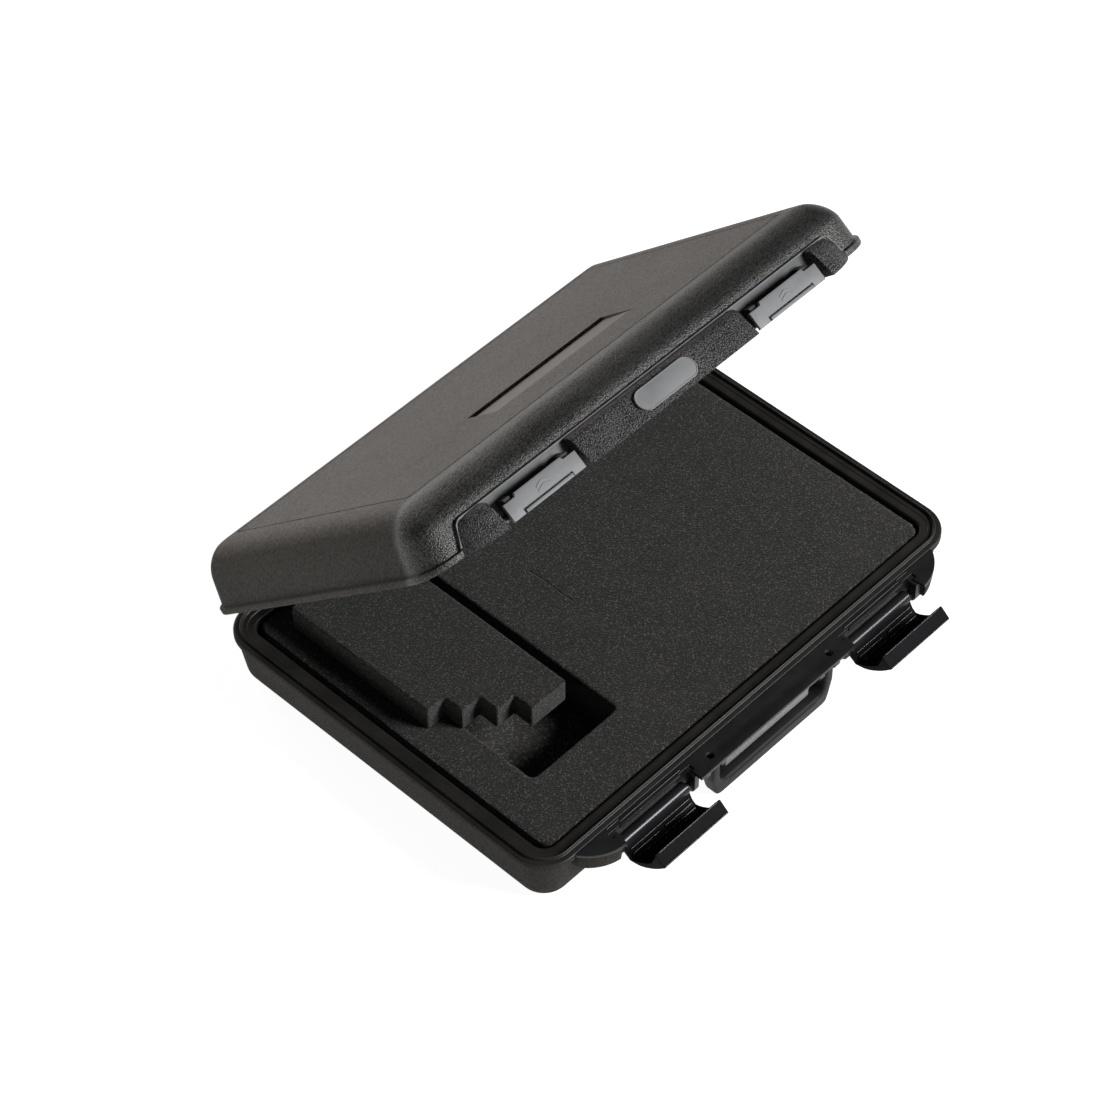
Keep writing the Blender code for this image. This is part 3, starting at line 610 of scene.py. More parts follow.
# The panel's raised border: the panel's plastic painted lighter as a highlight along its edge.
BORDER_PAINTED_HIGHLIGHT = satin("panel_border", (0.07, 0.07, 0.071), (0.088, 0.088, 0.09), roughness=0.54)
LATCH = satin(
    "latch_gloss", (0.009, 0.009, 0.01), (0.014, 0.014, 0.015),
    roughness=0.24, scuff=0.04, ripple=0.000001, gloss=0.22)
GRIP = satin(
    "latch_black", (0.0045, 0.0045, 0.005), (0.0075, 0.0075, 0.008),
    roughness=0.55, ripple=0.00001, gloss=0.03)
HANDLE = satin(
    "handle_satin", (0.0105, 0.0103, 0.01), (0.017, 0.0167, 0.0162), roughness=0.5, gloss=0.12)
CATCH = satin("catch_satin", (0.108, 0.108, 0.11), (0.142, 0.142, 0.145), roughness=0.5)
PLATE = satin("plate_satin", (0.17, 0.17, 0.172), (0.21, 0.21, 0.213), roughness=0.56)
FOAM_TONES = ((0.0053, 0.0048, 0.0041), (0.018, 0.0166, 0.0145), (0.082, 0.077, 0.069))
FOAM = open_cell_foam("charcoal_foam", *FOAM_TONES)
# Painted light: the floor pad's foam is several times lighter than the foam above it, standing in for light
# reaching the pocket's floor.
FLOOR_FOAM_PAINTED_LIGHT = open_cell_foam(
    "charcoal_foam_floor_painted_light", (0.016, 0.015, 0.0135), (0.044, 0.0415, 0.0375), (0.15, 0.142, 0.13))
# The insert's foam, with its slit painted near-black as the shade inside the cut.
SLIT_FOAM = open_cell_foam("charcoal_foam_slit", *FOAM_TONES, slit=(-0.0186, -0.006, 0.028))
STEEL = brushed_pin("pin_steel")
RUBBER = seal_rubber("gasket_rubber")


# ---------------- base

def base_outside(bead_z):
    """The outer wall from the underside's edge up to the bead, as (inset from the rim, height)."""
    under_bead = (0.0001, 0.0006)
    lean = atan(BASE_DRAFT)
    tangent_z = BASE_FILLET * (1 - sin(lean))
    wall_inset = BASE_WALL_INSET + (bead_z - tangent_z) * BASE_DRAFT
    centre = (wall_inset + BASE_FILLET * cos(lean), BASE_FILLET)
    wall = arc(centre, BASE_FILLET, -90, -180 + degrees(lean), 10)
    return wall + [(BASE_WALL_INSET + under_bead[0], bead_z - under_bead[1])]


def base_rim(bead_z):
    """The bead, the sealing ridge and the flange inside it."""
    low_round, high_round = 0.0005, 0.0009
    points = [(BASE_WALL_INSET, bead_z)]
    points += arc((low_round, bead_z + low_round), low_round, 270, 180, 3)
    points += arc((high_round, RIM_Z - high_round), high_round, 180, 90, 4)
    ridge, half, foot = 0.0041, 0.0006, 0.0003
    points += [(ridge - half - foot, RIM_Z), (ridge - half, RIM_Z + foot)]
    points += arc((ridge, RIM_Z + RIDGE_HEIGHT - half), half, 180, 0, 6)
    points += [(ridge + half, RIM_Z + foot), (ridge + half + foot, RIM_Z)]
    step, drop, edge = 0.0078, 0.0004, 0.0012
    points += [(step - drop, RIM_Z), (step, RIM_Z - drop), (FLANGE_INSET - edge, RIM_Z - drop)]
    return points + arc((FLANGE_INSET - edge, RIM_Z - drop - edge), edge, 90, 0, 4)


def base_tray():
    """The base's walls and floor: pebbled outside and over the bead, smooth from there in."""
    bead_z = RIM_Z - BEAD_HEIGHT
    outer = base_outside(bead_z)
    rim = base_rim(bead_z)
    floor_inset = FLANGE_INSET + (RIM_Z - FLOOR_Z - FLOOR_FILLET) * BASE_DRAFT
    inner = arc((floor_inset + FLOOR_FILLET, FLOOR_Z + FLOOR_FILLET), FLOOR_FILLET, 180, 270, 5)
    pebbled_rows = len(outer) + 6
    rings = [rim_ring(inset, z) for inset, z in outer + rim + inner]
    marks = [0] * pebbled_rows + [1] * (len(rings) - 1 - pebbled_rows)
    mesh = loft(rings, marks=marks)
    base_piece("base_tray", mesh, SHELL_FINE_SHADED, BASE_RIM, smooth=40, stands_for=("base_shell",))


def ledge_arc(push=0.0, steps=14):
    """The ledge's round right-hand corner, drawn in by push."""
    centre_y = LEDGE_Y + LEDGE_ARC_RADIUS
    radius = LEDGE_ARC_RADIUS - push
    reach = LEDGE_END_X - push - LEDGE_ARC_X
    end = degrees(asin(reach / radius)) - 90
    return arc((LEDGE_ARC_X, centre_y), radius, -90, end, steps)


def ledge_outline():
    """The ledge in plan, with a slot for each latch and a pocket at each end of a slot."""
    (slot_near, slot_far), (pocket_y, pocket_back) = SLOT_X, POCKET_Y
    inner_far, outer_near = POCKET_X[0] + POCKET_HALF, POCKET_X[1] - POCKET_HALF
    inner_near, outer_far = POCKET_X[0] - POCKET_HALF, POCKET_X[1] + POCKET_HALF
    right = [(slot_near, LEDGE_Y), (slot_near, pocket_y), (inner_near, pocket_y)]
    right += [(inner_near, pocket_back), (inner_far, pocket_back), (inner_far, SLOT_Y)]
    right += [(outer_near, SLOT_Y), (outer_near, pocket_back), (outer_far, pocket_back)]
    right += [(outer_far, pocket_y), (slot_far, pocket_y)]
    right += [point for point in ledge_arc() if point[0] > slot_far]
    right += [(LEDGE_END_X, LEDGE_ROOT_Y)]
    return right + mirrored(reversed(right))


def base_ledge():
    """The thin shelf in front of the rim, with two alignment holes and low ribs along its back."""
    hole_x, hole_y, hole_radius = 0.0461, -0.12575, 0.002
    holes = [arc((side * hole_x, hole_y), hole_radius, 0, 345, 23) for side, _ in SIDES]
    mesh = flat_mesh([ledge_outline(), *holes], LEDGE_UNDER, LEDGE_TOP)
    base_piece("base_ledge", mesh, RIM)
    ribs = []
    for side, _ in SIDES:
        for near, far, y in ((0.108, 0.1165, -0.1192), (0.113, 0.121, -0.115), (0.064, 0.108, -0.1206)):
            low, high = span(side, near, far)
            ribs.append(rod_mesh(low, high, y, LEDGE_TOP, 0.00045, sides=12, chamfer=0.0001))
    base_piece("ledge_ribs", joined(ribs), RIM)


def lug_outline(pivot, radius):
    """A lug seen from the side: flat on top, round about its pin, rooted in the front wall."""
    top = LEDGE_UNDER + 0.001
    nose = arc((pivot.y, pivot.z), radius, 180, 300, 14)
    root = [(FRONT_ROOT_Y, pivot.z - 1.5 * radius), (FRONT_ROOT_Y, top)]
    return [(pivot.y - radius, top)] + nose + root


def front_lugs():
    """The lugs on both sides of each latch and of each arm of the handle."""
    latch_lug = lug_outline(LATCH_PIVOT, 0.0045)
    handle_lug = lug_outline(HANDLE_PIVOT, 0.004)
    places = (
        (latch_lug, 0.0578, 0.0614), (latch_lug, 0.1132, 0.1186),
        (handle_lug, 0.0366, 0.0404), (handle_lug, 0.0484, 0.0524))
    lugs = []
    for outline, near, far in places:
        lugs += both_sides(outline, near, far, edge=0.0004)
    base_piece("base_lugs", joined(lugs), RIM)


def front_bumpers():
    """The solid round corners below the ledge's two ends."""
    levels = (
        (LEDGE_UNDER + 0.001, 0.0002), (LEDGE_UNDER - 0.0035, 0.0003),
        (LEDGE_TOP - 0.0117, 0.001), (LEDGE_TOP - 0.0125, 0.0018))
    for side, name in SIDES:
        rings = []
        for z, push in levels:
            front = [(x, y) for x, y in ledge_arc(push) if x > BUMPER_X][-11:]
            outline = [(BUMPER_X, FRONT_ROOT_Y), (BUMPER_X, LEDGE_Y + push + 0.0003)] + front
            outline += [(LEDGE_END_X - push, FRONT_ROOT_Y)]
            rings.append([(side * x, y, z) for x, y in outline])
        mesh = loft(rings)
        base_piece("base_bumper_" + name, mesh, SHELL_FINE_SHADED, bevel=0.0006, smooth=50)


def centre_boss():
    """The block behind the handle, with three low ribs across its face."""
    half, face_y, bottom, lower_round = 0.0325, -0.125, 0.012, 0.0015
    top = LEDGE_UNDER + 0.001
    outline = [(face_y, top), (face_y, bottom + 0.0025)]
    outline += arc((face_y + lower_round, bottom + lower_round), lower_round, 180, 270, 5)
    outline += [(-0.1145, bottom), (FRONT_ROOT_Y, top)]
    boss = flat_mesh([outline], -half, half, "YZ", edge=0.0008)
    base_piece("centre_boss", boss, BOSS)
    rib_half, rib_low, rib_pitch = 0.025, 0.0161, 0.0042
    rib_front, rib_back = face_y - 0.0002, face_y + 0.0006
    ribs = []
    for row in range(3):
        z = rib_low + rib_pitch * row
        rib = [(rib_front, z + 0.0004), (rib_back, z), (rib_back, z + 0.0014), (rib_front, z + 0.001)]
        ribs.append(flat_mesh([rib], -rib_half, rib_half, "YZ", edge=0.0001))
    base_piece("boss_ribs", joined(ribs), BOSS)


def base_hinges():
    """Two ears at each hinge, round about the pin."""
    root_y, root_low, root_high, ear = 0.1155, 0.0175, 0.031, 0.008
    eye = arc((HINGE.y, HINGE.z), 0.005, -50, 180, 28)
    outline = [(root_y, root_low)] + eye + [(eye[-1][0], root_high), (root_y, root_high)]
    ears = []
    for near in (0.0634, 0.1026):
        ears += both_sides(outline, near, near + ear, edge=0.0005)
    base_piece("base_hinge_ears", joined(ears), SHELL_FINE_SHADED)


# ---------------- lid

def lid_height(height):
    """A height above the rim as a height above the floor."""
    return height + RIM_Z


def lid_points(points):
    return [(y, lid_height(height)) for y, height in points]


def lid_rim():
    """The bead, the seal's groove and the land inside it, as (inset from the rim's outline, height)."""
    corner = 0.0006
    points = [(LID_WALL_INSET, BEAD_HEIGHT + 0.0002)]
    points += arc((corner, BEAD_HEIGHT - corner), corner, 90, 180, 3)
    points += arc((corner, CLOSING_GAP + corner), corner, 180, 270, 3)
    groove_out, groove_in = GROOVE_INSETS
    points += [(groove_out, CLOSING_GAP), (groove_out, GROOVE_TOP)]
    points += [(groove_in, GROOVE_TOP), (groove_in, CLOSING_GAP)]
    land_inset, land_top = LID_LAND
    chamfer = 0.0004
    return points + [
        (land_inset - chamfer, CLOSING_GAP), (land_inset, CLOSING_GAP + chamfer), (land_inset, land_top)]


def lid_profile():
    """The lid's cross-section from its top round the rim to its ceiling, and its materials."""
    lean = degrees(atan(LID_DRAFT))
    centre_z = LID_HEIGHT - LID_FILLET
    tangent_z = centre_z + LID_FILLET * sin(radians(lean))
    tangent_inset = LID_WALL_INSET + LID_DRAFT * (tangent_z - BEAD_HEIGHT)
    centre = (tangent_inset + LID_FILLET * cos(radians(lean)), centre_z)
    outer = arc(centre, LID_FILLET, 90, 180 - lean, 16)
    outer += [(LID_WALL_INSET + 0.0001, BEAD_HEIGHT + 0.0007)]
    rim = lid_rim()
    inner_radius = LID_FILLET - LID_WALL
    ceiling = 180 - degrees(asin((LID_CEILING - centre_z) / inner_radius))
    wall_inset = LID_WALL_INSET + LID_DRAFT * (LID_WALL_LOW - BEAD_HEIGHT) + LID_WALL
    inner = [(wall_inset, LID_WALL_LOW)] + arc(centre, inner_radius, 180 - lean, ceiling, 10)
    bead = 7
    marks = [0] * (len(outer) - 1 + bead) + [1] * (len(rim) + 1 - bead) + [2] * (len(inner) - 1)
    return outer + rim + inner, marks


def fuller_front(ring, height):
    """Moves the front wall out by up to FRONT_FULLNESS: it stands straighter than the other three."""
    rise = min(max((height - 0.0048) / 0.0095, 0), 1)
    fall = min(max((LID_HEIGHT - height) / 0.0148, 0), 1)
    push = FRONT_FULLNESS * rise * fall * fall * (3 - 2 * fall)
    moved = []
    for x, y, z in ring:
        weight = min(max((-y - 0.092) / 0.016, 0), 1)
        moved.append((x, y - push * weight, z))
    return moved


def recess_cutter():
    """The label recess: level with the top at its front edge and deeper towards its back edge."""
    above = LID_HEIGHT + 0.0022
    floor = list(zip(reversed(RECESS_Y), reversed(RECESS_FLOOR)))
    outline = lid_points(floor + [(RECESS_Y[0], above), (RECESS_Y[2], above)])
    return loose("recess", flat_mesh([outline], -RECESS_HALF, RECESS_HALF, "YZ", edge=0.0))


def crease_cutter():
    """A fine V groove round the flat of the lid's top."""
    above, below = LID_TOP + 0.001, LID_TOP - CREASE_DEEP
    rings = []
    for push, z in ((CREASE_WIDE, above), (-CREASE_WIDE, above), (-0.0001, below), (0.0001, below)):
        half_x, half_y = CREASE_HALF[0] + push, CREASE_HALF[1] + push
        rings.append([(x, y, z) for x, y in rounded_rectangle(half_x, half_y, CREASE_CORNER, 4)])
    return loose("crease", loft(rings, closed=True))


def mark_recess(mesh, index):
    """Gives the faces inside the recess their own material."""
    for face in mesh.polygons:
        x, y, z = face.center
        across = abs(x) < RECESS_HALF and RECESS_Y[1] < y < RECESS_Y[2]
        if across and LID_TOP - 0.003 < z < LID_TOP - 0.0001:
            face.material_index = index


def lid_tray():
    profile, marks = lid_profile()
    rings = []
    for row, (inset, height) in enumerate(profile):
        ring = rim_ring(inset, lid_height(height))
        if row < len(marks) and marks[row] == 0:
            ring = fuller_front(ring, height)
        rings.append(ring)
    mesh = loft(rings, marks=marks)
    for material in (SHELL, RIM, SHELL_FINE_SHADED, LABEL):
        mesh.materials.append(material)
    shell = loose("lid_shell_cut", mesh)
    cut_away(shell, (recess_cutter(), crease_cutter()))
    mesh = mesh_of(shell)
    mark_recess(mesh, 3)
    lid_piece("lid_tray", mesh, smooth=38, stands_for=("lid_shell",))


def panel_outline(push):
    """The front panel's outline drawn in by push, from its left foot over the top to its right foot."""
    foot, corner_x, top = 0.0046, 0.1338, PANEL_TOP - push
    radius = 0.0042 - push
    corner = arc((corner_x - radius, top - radius), radius, 90, 12, 8)
    right = corner + [(LEDGE_END_X - push, foot)]
    outline = mirrored(reversed(right)) + right
    return [(x, lid_height(height)) for x, height in outline]


def front_panel():
    """The flat panel across the lid's front, with a raised border painted lighter than the panel as a
    highlight along its edge.
    """
    panel_back, border_wide, border_proud = -0.113, 0.0013, 0.0006
    outer = panel_outline(0.0)
    mesh = flat_mesh([outer], PANEL_Y, panel_back, "XZ", edge=0.0002)
    lid_piece("front_panel", mesh, PANEL)
    band = outer + list(reversed(panel_outline(border_wide)))
    mesh = flat_mesh([band], PANEL_Y - border_proud, PANEL_Y + 0.001, "XZ")
    lid_piece("front_panel_border", mesh, BORDER_PAINTED_HIGHLIGHT)


def block_front_y(height):
    """Where the sloping front of the blocks is at a height above the rim."""
    return BLOCK_FOOT_Y + BLOCK_SLOPE * (height - BLOCK_BOTTOM)


def centre_block():
    """The block between the catches: a sloping face rolled over at its top."""
    slope_end, back_y, foot_back = 0.0138, -0.114, -0.117
    top_y = block_front_y(slope_end)
    outline = [(block_front_y(BLOCK_BOTTOM), BLOCK_BOTTOM), (top_y, slope_end)]
    outline += [(top_y + 0.0008, 0.015), (top_y + 0.0021, 0.0159), (top_y + 0.0038, 0.0164)]
    outline += [(top_y + 0.0052, BLOCK_TOP), (back_y, BLOCK_TOP)]
    outline += [(back_y, 0.006), (foot_back, 0.005), (foot_back, BLOCK_BOTTOM)]
    mesh = flat_mesh([lid_points(outline)], -BLOCK_HALF, BLOCK_HALF, "YZ", edge=0.0007)
    lid_piece("centre_block", mesh, BLOCK)


def ear_block(side, name):
    """The round block outside each catch, above the ledge's round end."""
    foot_back, back_y = -0.117, -0.1134
    levels = (
        (BLOCK_BOTTOM, foot_back, 0.0), (0.0049, foot_back, 0.0), (0.0056, back_y, 0.0),
        (0.011, back_y, 0.0), (0.0148, back_y, 0.0003), (0.016, back_y, 0.001),
        (BLOCK_TOP + 0.0002, back_y, 0.0024))
    rings = []
    for height, ring_back, pull in levels:
        back_set = block_front_y(height) - block_front_y(BLOCK_BOTTOM) + 0.0008 + pull
        front = [(max(x, EAR_X), min(y + back_set, ring_back - 0.0008)) for x, y in ledge_arc()]
        near_x = EAR_X + pull * 0.8
        outline = [(near_x, ring_back)] + [(max(x, near_x), y) for x, y in front[1:]]
        outline += [(LEDGE_END_X - pull * 0.4, ring_back)]
        rings.append([(side * x, y, lid_height(height)) for x, y in outline])
    lid_piece("ear_block_" + name, loft(rings), BLOCK, bevel=0.0006, smooth=50)


def catch_pedestal(side, name):
    """What a catch plate stands on, with a cheek at each of its ends."""
    back_y = -0.1172
    slope = lid_points([(-0.1271, 0.0016), (-0.1248, 0.0118), (back_y, 0.0098), (back_y, 0.0016)])
    cheek = lid_points([(-0.1262, 0.007), (-0.1249, 0.0124), (back_y, 0.0124), (back_y, 0.007)])
    parts = [flat_mesh([slope], *span(side, 0.0663, 0.1083), "YZ")]
    for near, far in ((0.0655, 0.0703), (0.1043, 0.1091)):
        parts.append(flat_mesh([cheek], *span(side, near, far), "YZ"))
    lid_piece("catch_pedestal_" + name, joined(parts), RIM)


def lid_front():
    front_panel()
    centre_block()
    for side, name in SIDES:
        ear_block(side, name)
        catch_pedestal(side, name)


def lid_hinges():
    """The barrels that turn on the hinge pins."""
    root_y, arm_low, arm_high = 0.1168, 0.0361, 0.0392
    eye = arc((HINGE.y, HINGE.z), 0.005, 134, 420, 36)
    outline = [(root_y, arm_low)] + eye + [(HINGE.y - 0.001, arm_high), (root_y, arm_high)]
    barrels = both_sides(outline, 0.072, 0.102, edge=0.0005)
    lid_piece("lid_hinge_barrels", joined(barrels), SHELL_FINE_SHADED)


def gasket():
    """The seal ring in the lid's groove, round where it meets the ridge."""
    low, high = lid_height(0.0022), lid_height(0.0037)
    middle, half, lip = 0.0042, 0.00085, 0.0004
    profile = [(middle - half, high), (middle - half, low + lip)]
    profile += arc((middle, low + lip), lip, 180, 360, 5)
    profile += [(middle + half, low + lip), (middle + half, high)]
    mesh = loft([rim_ring(inset, z) for inset, z in profile], closed=True)
    piece("seal_ring", mesh, "lid", "gasket_rubber", (RUBBER,), lid=True, stands_for=("lid_gasket",))


def catch_outline(height):
    """A catch plate from the front: notched top corners and a cut-out for its grip bar."""
    half, top_half, notch = 0.0245, 0.0157, 0.0098
    bar_half, bar_top = 0.0166, 0.0027
    right = [(bar_half, bar_top), (bar_half, 0), (half, 0), (half, notch)]
    right += [(top_half + 0.0009, notch), (top_half, height)]
    return right + mirrored(reversed(right))


def catches():
    """Sloping catch plates with a grip bar along the foot and two raised chevrons."""
    low, height, thick = 0.0014, 0.0116, 0.002
    foot_y, slope_back = -0.1295, 0.0023
    lean = atan2(slope_back, height)
    chevron = [(-0.0042, 0.0044), (0.0, 0.0058), (0.0042, 0.0044)]
    chevron += [(x, z + 0.0009) for x, z in reversed(chevron)]
    for side, name in SIDES:
        parts = [flat_mesh([catch_outline(height)], 0, thick, "XZ")]
        bar = rectangle(-0.016, 0.016, 0.0, 0.0019)
        parts.append(flat_mesh([bar], -0.0006, thick, "XZ"))
        back = rectangle(-0.0175, 0.0175, 0.0001, 0.0036)
        parts.append(flat_mesh([back], 0.0014, 0.0019, "XZ", edge=0.0001))
        for lift in (0.0, 0.0021):
            raised = [(x, z + lift) for x, z in chevron]
            parts.append(flat_mesh([raised], -0.00025, 0.001, "XZ", edge=0.0001))
        mesh = joined(parts)
        foot = (side * LATCH_PIVOT.x, foot_y, lid_height(low))
        mesh.transform(Matrix.Translation(foot) @ Matrix.Rotation(-lean, 4, "X"))
        piece("catch_plate_" + name, mesh, "lid", "catch_plastic", (CATCH,), lid=True,
              stands_for=("latch_catch_" + name,))


def name_plate():
    """A blank oval plate with a low rim, glued on the centre block."""
    half_length, half_height, thickness, glue, height = 0.0203, 0.006, 0.0012, 0.0003, 0.0088

    def oval(push):
        radius = half_height - push
        straight = half_length - half_height
        return arc((straight, 0), radius, -90, 90, 20) + arc((-straight, 0), radius, 90, 270, 20)

    body = flat_mesh([oval(0.0)], 0.0002, thickness, "XZ", edge=0.0002)
    rim = flat_mesh([oval(0.0), oval(0.0006)], 0.0, 0.0006, "XZ", edge=0.0001)
    mesh = joined([body, rim])
    slope = atan(BLOCK_SLOPE)
    off_face = glue + thickness
    place_y = block_front_y(height) - off_face * cos(slope)
    place_z = lid_height(height) + off_face * sin(slope)
    mesh.transform(Matrix.Translation((0, place_y, place_z)) @ Matrix.Rotation(-slope, 4, "X"))
    piece("oval_plate", mesh, "lid", "plate_plastic", (PLATE,), lid=True, stands_for=("name_plate",))


# ---------------- latches and handle

def latch_outlines():
    """The latch's plate and its end walls from the side, as (y, z) from the pivot."""
    skin = flowing([(-0.0293, 0.0053), (-0.0225, -0.0015), (-0.014, -0.0073), (-0.006, -0.0095)], 6)
    heel = [(-0.001, -0.006), (0.002, -0.002), (-0.002, 0.001)]
    trough = flowing([
        (-0.005, -0.005), (-0.0085, -0.0073), (-0.0133, -0.0057), (-0.0213, -0.0003), (-0.0268, 0.0052)])
    lip = [(-0.0225, 0.0099), (-0.0231, 0.0107)]
    wall_top = flowing([
        (-0.0055, -0.008), (-0.0115, -0.0058), (-0.0195, 0.0005), (-0.022, 0.0057), (-0.0234, 0.0104)])
    return skin + heel + trough + lip, skin + wall_top


def latch_ribs():
    """The ribs in the trough and along the lip."""
    full, edge = 0.0216, 0.0236
    places = (
        (-0.0046, -0.0036, 0.0006, -full, full), (-0.0064, -0.0056, 0.0007, -full, -0.003),
        (-0.0064, -0.0056, 0.0007, 0.002, full), (-0.009, -0.0069, 0.0006, -full, full),
        (-0.0116, -0.0062, 0.0004, -0.015, 0.015), (-0.029, 0.0056, 0.0005, -edge, edge),
        (-0.0231, 0.0103, 0.0005, -full, full), (-0.0222, 0.0008, 0.0004, -full, full))
    ribs = []
    for y, z, radius, near, far in places:
        ribs.append(rod_mesh(near, far, y, z, radius, sides=14, chamfer=0.0001))
    return ribs


def latches():
    """Curved latches: a matt plate with end walls and a hooked lip, glossy ribs and a glossy barrel."""
    half, wall_thick, barrel_radius = 0.024, 0.0019, 0.0038
    plate, wall = latch_outlines()
    for side, name in SIDES:
        matt = [flat_mesh([plate], -half + 0.0002, half - 0.0002, "YZ", edge=0.00025)]
        for end in (-1, 1):
            matt.append(flat_mesh([wall], *span(end, half - wall_thick, half), "YZ"))
        for part in matt:
            for face in part.polygons:
                face.material_index = 1
        barrel = rod_mesh(-half + 0.0003, half - 0.0003, 0, 0, barrel_radius, 40, 0.0004)
        mesh = joined(matt + [barrel] + latch_ribs())
        mesh.transform(Matrix.Translation((side * LATCH_PIVOT.x, LATCH_PIVOT.y, LATCH_PIVOT.z)))
        piece("latch_lever_" + name, mesh, "latch_" + name, "latch_plastic", (LATCH, GRIP),
              stands_for=("latch_" + name,))


def handle_outline(grip_top, grip_low):
    """The flat loop from the front, as (x, z) from the pivot."""
    top, inner_x, outer_x, bend = 0.0042, 0.0412, 0.0472, -0.0085
    outside = flowing(
        [(outer_x, bend), (0.0456, -0.015), (0.0441, -0.0205), (0.0424, -0.0236), (0.0392, grip_low)], 4)
    right = [(inner_x, top), (outer_x, top)] + outside
    inside = flowing([(inner_x, bend), (0.04, -0.0125), (0.0368, -0.0147), (0.034, grip_top)], 4)
    return right + mirrored(reversed(right)) + mirrored(inside) + list(reversed(inside))


def handle():
    """The loop handle, with a line along the front of its grip and finger ribs on the back."""
    grip_top, grip_low, depth = -0.015, -0.0246, 0.0042
    middle = (grip_top + grip_low) / 2
    parts = [flat_mesh([handle_outline(grip_top, grip_low)], -depth, depth, "XZ", edge=0.0016)]
    line = rectangle(-0.0335, 0.0335, middle + 0.002, middle + 0.0028)
    parts.append(flat_mesh([line], -depth - 0.0003, depth - 0.001, "XZ", edge=0.0002))
    rib_count, rib_pitch, rib_half = 13, 0.0045, 0.0009
    for index in range(rib_count):
        x = rib_pitch * (index - rib_count // 2)
        rib = rectangle(x - rib_half, x + rib_half, middle - 0.0034, middle + 0.0008)
        parts.append(flat_mesh([rib], depth - 0.001, depth + 0.0004, "XZ"))
    mesh = joined(parts)
    mesh.transform(Matrix.Translation((0, HANDLE_PIVOT.y, HANDLE_PIVOT.z)))
    piece("handle_loop", mesh, "handle", "handle_plastic", (HANDLE,), stands_for=("carry_handle",))


# ---------------- foam

def foam_ring(half_x, half_y, radius, z, shift=0.0):
    return [(x + shift, y, z) for x, y in rounded_rectangle(half_x, half_y, radius, 5)]


def wobble(mesh, amount):
    """Small unevenness of cut foam, the same each run."""
    noise.seed_set(WOBBLE_SEED)
    for vert in mesh.vertices:
        shift = noise.noise_vector(vert.co * WOBBLE_SCALE)
        vert.co += shift * amount


def soft_solid(name, mesh, body, stands_for, material, voxel=0.0016, amount=0.0002):
    """Cut foam: remeshed, its edges relaxed, its faces made a little uneven."""
    obj = loose(name, mesh)
    remesh = obj.modifiers.new("cells", "REMESH")
    remesh.mode = "VOXEL"
    remesh.voxel_size = voxel
    relax = obj.modifiers.new("relax", "SMOOTH")
    relax.iterations = 2
    settle(obj)
    wobble(obj.data, amount)
    made = piece(name, mesh_of(obj), body, "foam", (material,), smooth=60, stands_for=stands_for)


def foam_insert():
    """The pluck layer with its pocket, five cells wide and eleven long."""
    near_x, near_y, columns, rows = -0.1176, -0.0694, 5, 11
    foot = foam_ring(0.1427, 0.1012, 0.006, FOAM_LOW.z + 0.0003)
    top = foam_ring(0.145, 0.1054, 0.006, FOAM_HIGH.z, shift=0.0008)
    far = (near_x + columns * PLUCK, near_y + rows * PLUCK, 0.05)
    holder = loose("insert_solid", loft([foot, top]))
    cut_away(holder, [loose("pocket", box_mesh((near_x, near_y, 0), far))])
    soft_solid("foam_insert_cut", mesh_of(holder), "base", ("foam_insert",), SLIT_FOAM)


def foam_floor():
    """The thin pad below the pluck layer, in a foam painted lighter than the foam above it as light on the
    pocket's floor.
    """
    rings = [foam_ring(0.141, 0.0995, 0.004, z) for z in (0.0032, 0.0054)]
    made = piece(
        "foam_floor", loft(rings), "base", "foam", (FLOOR_FOAM_PAINTED_LIGHT,), stands_for=("foam_bottom_pad",))


def foam_block():
    """The block out of the pocket, with the stepped end that plucking leaves, in cells of the grid."""
    left, stair_y = BLOCK_LOW.x, BLOCK_LOW.y + 3 * PLUCK
    steps = [(0, 0), (1, 0), (1, -1), (2, -1), (2, -2), (3, -2), (3, -3), (5, -3), (5, 8), (0, 8)]
    outline = [(left + u * PLUCK, stair_y + v * PLUCK) for u, v in steps]
    block = flat_mesh([outline], BLOCK_LOW.z, BLOCK_HIGH.z, edge=0.0004)
    soft_solid(
        "foam_block_lifted", block, "foam_block", ("foam_block",), FOAM, voxel=0.0008, amount=0.00015)


def wave_slab(columns=168, rows=122):
    """A slab whose lower face is a grid of rounded peaks, as convoluted foam is cut."""
    half_x, half_y, pitch = HALF_X - 0.0135, HALF_Y - 0.0135, 0.026
    middle, swing, back = 0.0212, 0.0028, 0.0246
    bm = bmesh.new()
    grids = {}
    for layer in (0, 1):
        for i in range(columns + 1):
            for j in range(rows + 1):
                x = -half_x + 2 * half_x * i / columns
                y = -half_y + 2 * half_y * j / rows
                wave = cos(2 * pi * x / pitch) * cos(2 * pi * y / pitch)
                height = middle - swing * wave if layer == 0 else back
                grids[layer, i, j] = bm.verts.new((x, y, lid_height(height)))

    def face(*corners):
        bm.faces.new([grids[corner] for corner in corners])

    for i in range(columns):
        for j in range(rows):
            for layer in (0, 1):
                face((layer, i, j), (layer, i + 1, j), (layer, i + 1, j + 1), (layer, i, j + 1))
    for i in range(columns):
        for j in (0, rows):
            face((0, i, j), (0, i + 1, j), (1, i + 1, j), (1, i, j))
    for j in range(rows):
        for i in (0, columns):
            face((0, i, j), (0, i, j + 1), (1, i, j + 1), (1, i, j))
    return mesh_from(bm)


def lid_foam():
    """Convoluted foam whose peaks point down into the case, on a flat back under the lid's ceiling."""
    edges = ((0.024, 0.012), (0.0288, 0.0185))
    backing = [rim_ring(inset, lid_height(height)) for height, inset in edges]
    mesh = joined([wave_slab(), loft(backing)])
    made = piece(
        "lid_foam_waves", mesh, "lid", "foam", (FOAM,), lid=True, smooth=60, stands_for=("lid_foam_pad",))


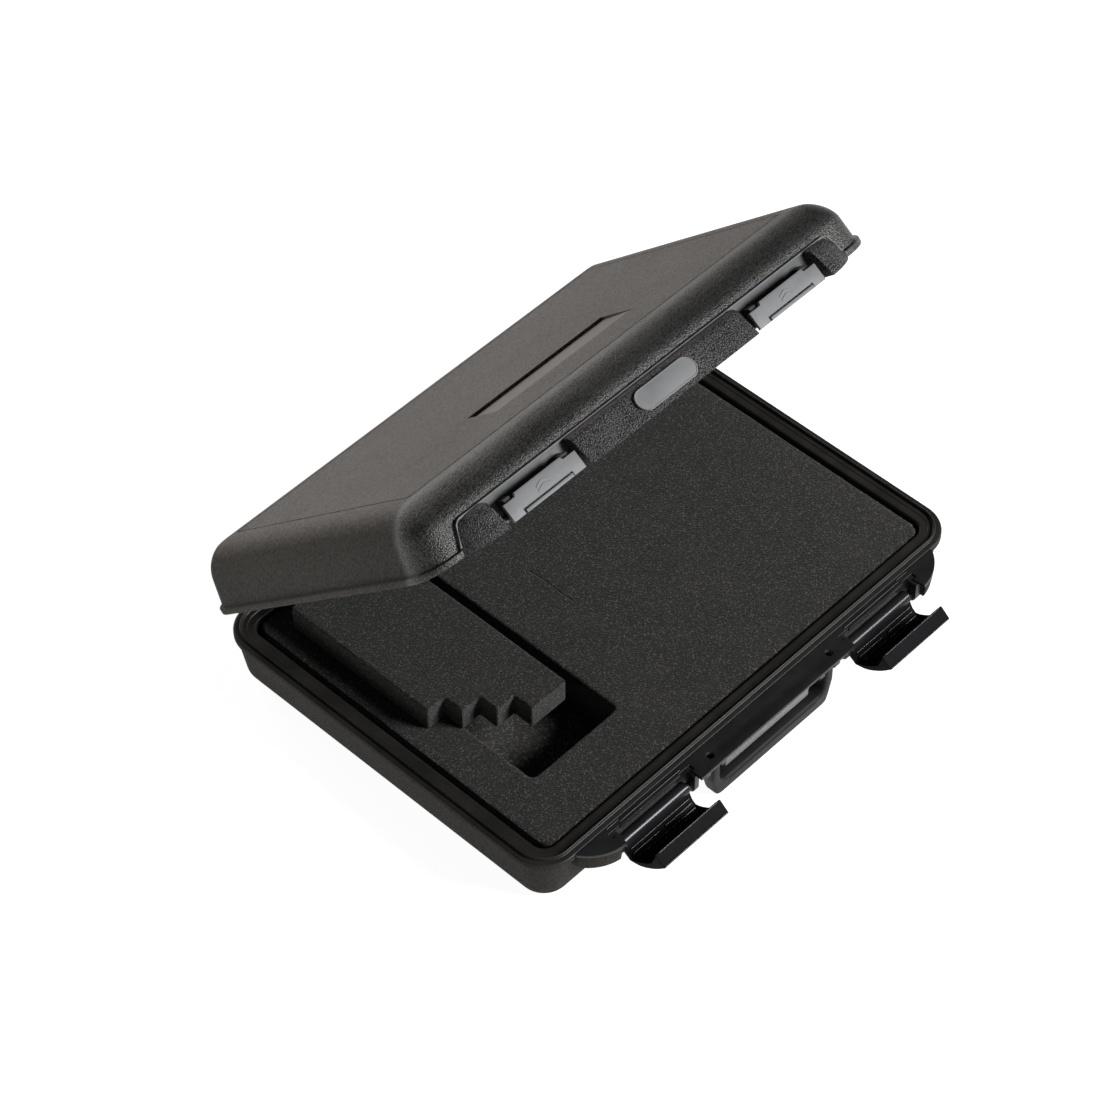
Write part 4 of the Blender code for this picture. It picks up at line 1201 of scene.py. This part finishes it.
# ---------------- stage

def cad_finish():
    """The pins stay as the CAD made them and get their steel."""
    for name, node in frame["nodes"].items():
        if "_pin_" in name:
            node.data.materials.clear()
            node.data.materials.append(STEEL)
            for slot in node.material_slots:
                slot.material = STEEL


def pale_floor():
    bm = bmesh.new()
    bmesh.ops.create_grid(bm, x_segments=1, y_segments=1, size=6)
    floor = loose("floor", emptied(bm))
    floor.location.z = -0.0002
    paint = Nodes(
        "floor_paint", Base_Color=(0.3, 0.3, 0.3, 1), Roughness=0.9,
        Emission_Color=(1, 1, 1, 1), Emission_Strength=0.95)
    floor.data.materials.append(paint.material)


def faint_world():
    world = bpy.data.worlds.new("studio")
    bpy.context.scene.world = world
    world.use_nodes = True
    background = world.node_tree.nodes["Background"]
    background.inputs["Color"].default_value = (1, 1, 1, 1)
    background.inputs["Strength"].default_value = 0.06


def softbox(name, place, target, size, power, tint):
    light = bpy.data.lights.new(name, "AREA")
    light.color = tint
    light.shape = "RECTANGLE"
    light.size, light.size_y = size
    light.energy = power
    obj = loose(name, light)
    obj.location = place
    obj.rotation_mode = "QUATERNION"
    obj.rotation_quaternion = (Vector(target) - Vector(place)).to_track_quat("-Z", "Y")


def stage():
    pale_floor()
    faint_world()
    softbox("front_softbox", place=(0.77, -1.44, 1.14), target=(0, 0, 0.08), size=(0.75, 0.55), power=57,
            tint=(0.97, 0.985, 1.0))
    softbox("back_softbox", place=(0.3, 1.9, 0.45), target=(0, 0, 0.1), size=(0.9, 0.5), power=13,
            tint=(1.0, 0.95, 0.9))
    softbox("left_softbox", place=(-1.8, -0.3, 0.45), target=(0, 0, 0.05), size=(0.6, 0.4), power=1,
            tint=(1.0, 0.96, 0.92))
    bpy.context.scene.view_settings.view_transform = "Standard"


def camera():
    """The photo's view: fitted direction, distance and focal length."""
    target = Vector((-0.001633, 0.028698, 0.0354))
    azimuth, elevation, roll = radians(-46.047), radians(48.839), radians(-0.529)
    distance, focal, sensor = 1.8721, 114.97, 36
    level = Vector((sin(azimuth), -cos(azimuth), 0)) * cos(elevation)
    back = level + Vector((0, 0, sin(elevation)))
    data = bpy.data.cameras.new("view")
    data.sensor_width = sensor
    data.lens = focal
    data.clip_start = 0.1
    data.clip_end = 30
    obj = loose("view", data)
    obj.location = target + back * distance
    obj.rotation_mode = "QUATERNION"
    obj.rotation_quaternion = back.to_track_quat("Z", "Y") @ Quaternion((0, 0, 1), roll)
    bpy.context.scene.camera = obj


for make in (
    base_tray, base_ledge, front_bumpers, front_lugs, centre_boss, base_hinges,
    lid_tray, lid_front, lid_hinges, gasket, catches, name_plate,
    latches, handle, foam_insert, foam_floor, foam_block, lid_foam,
    cad_finish, stage, camera,
):
    make()
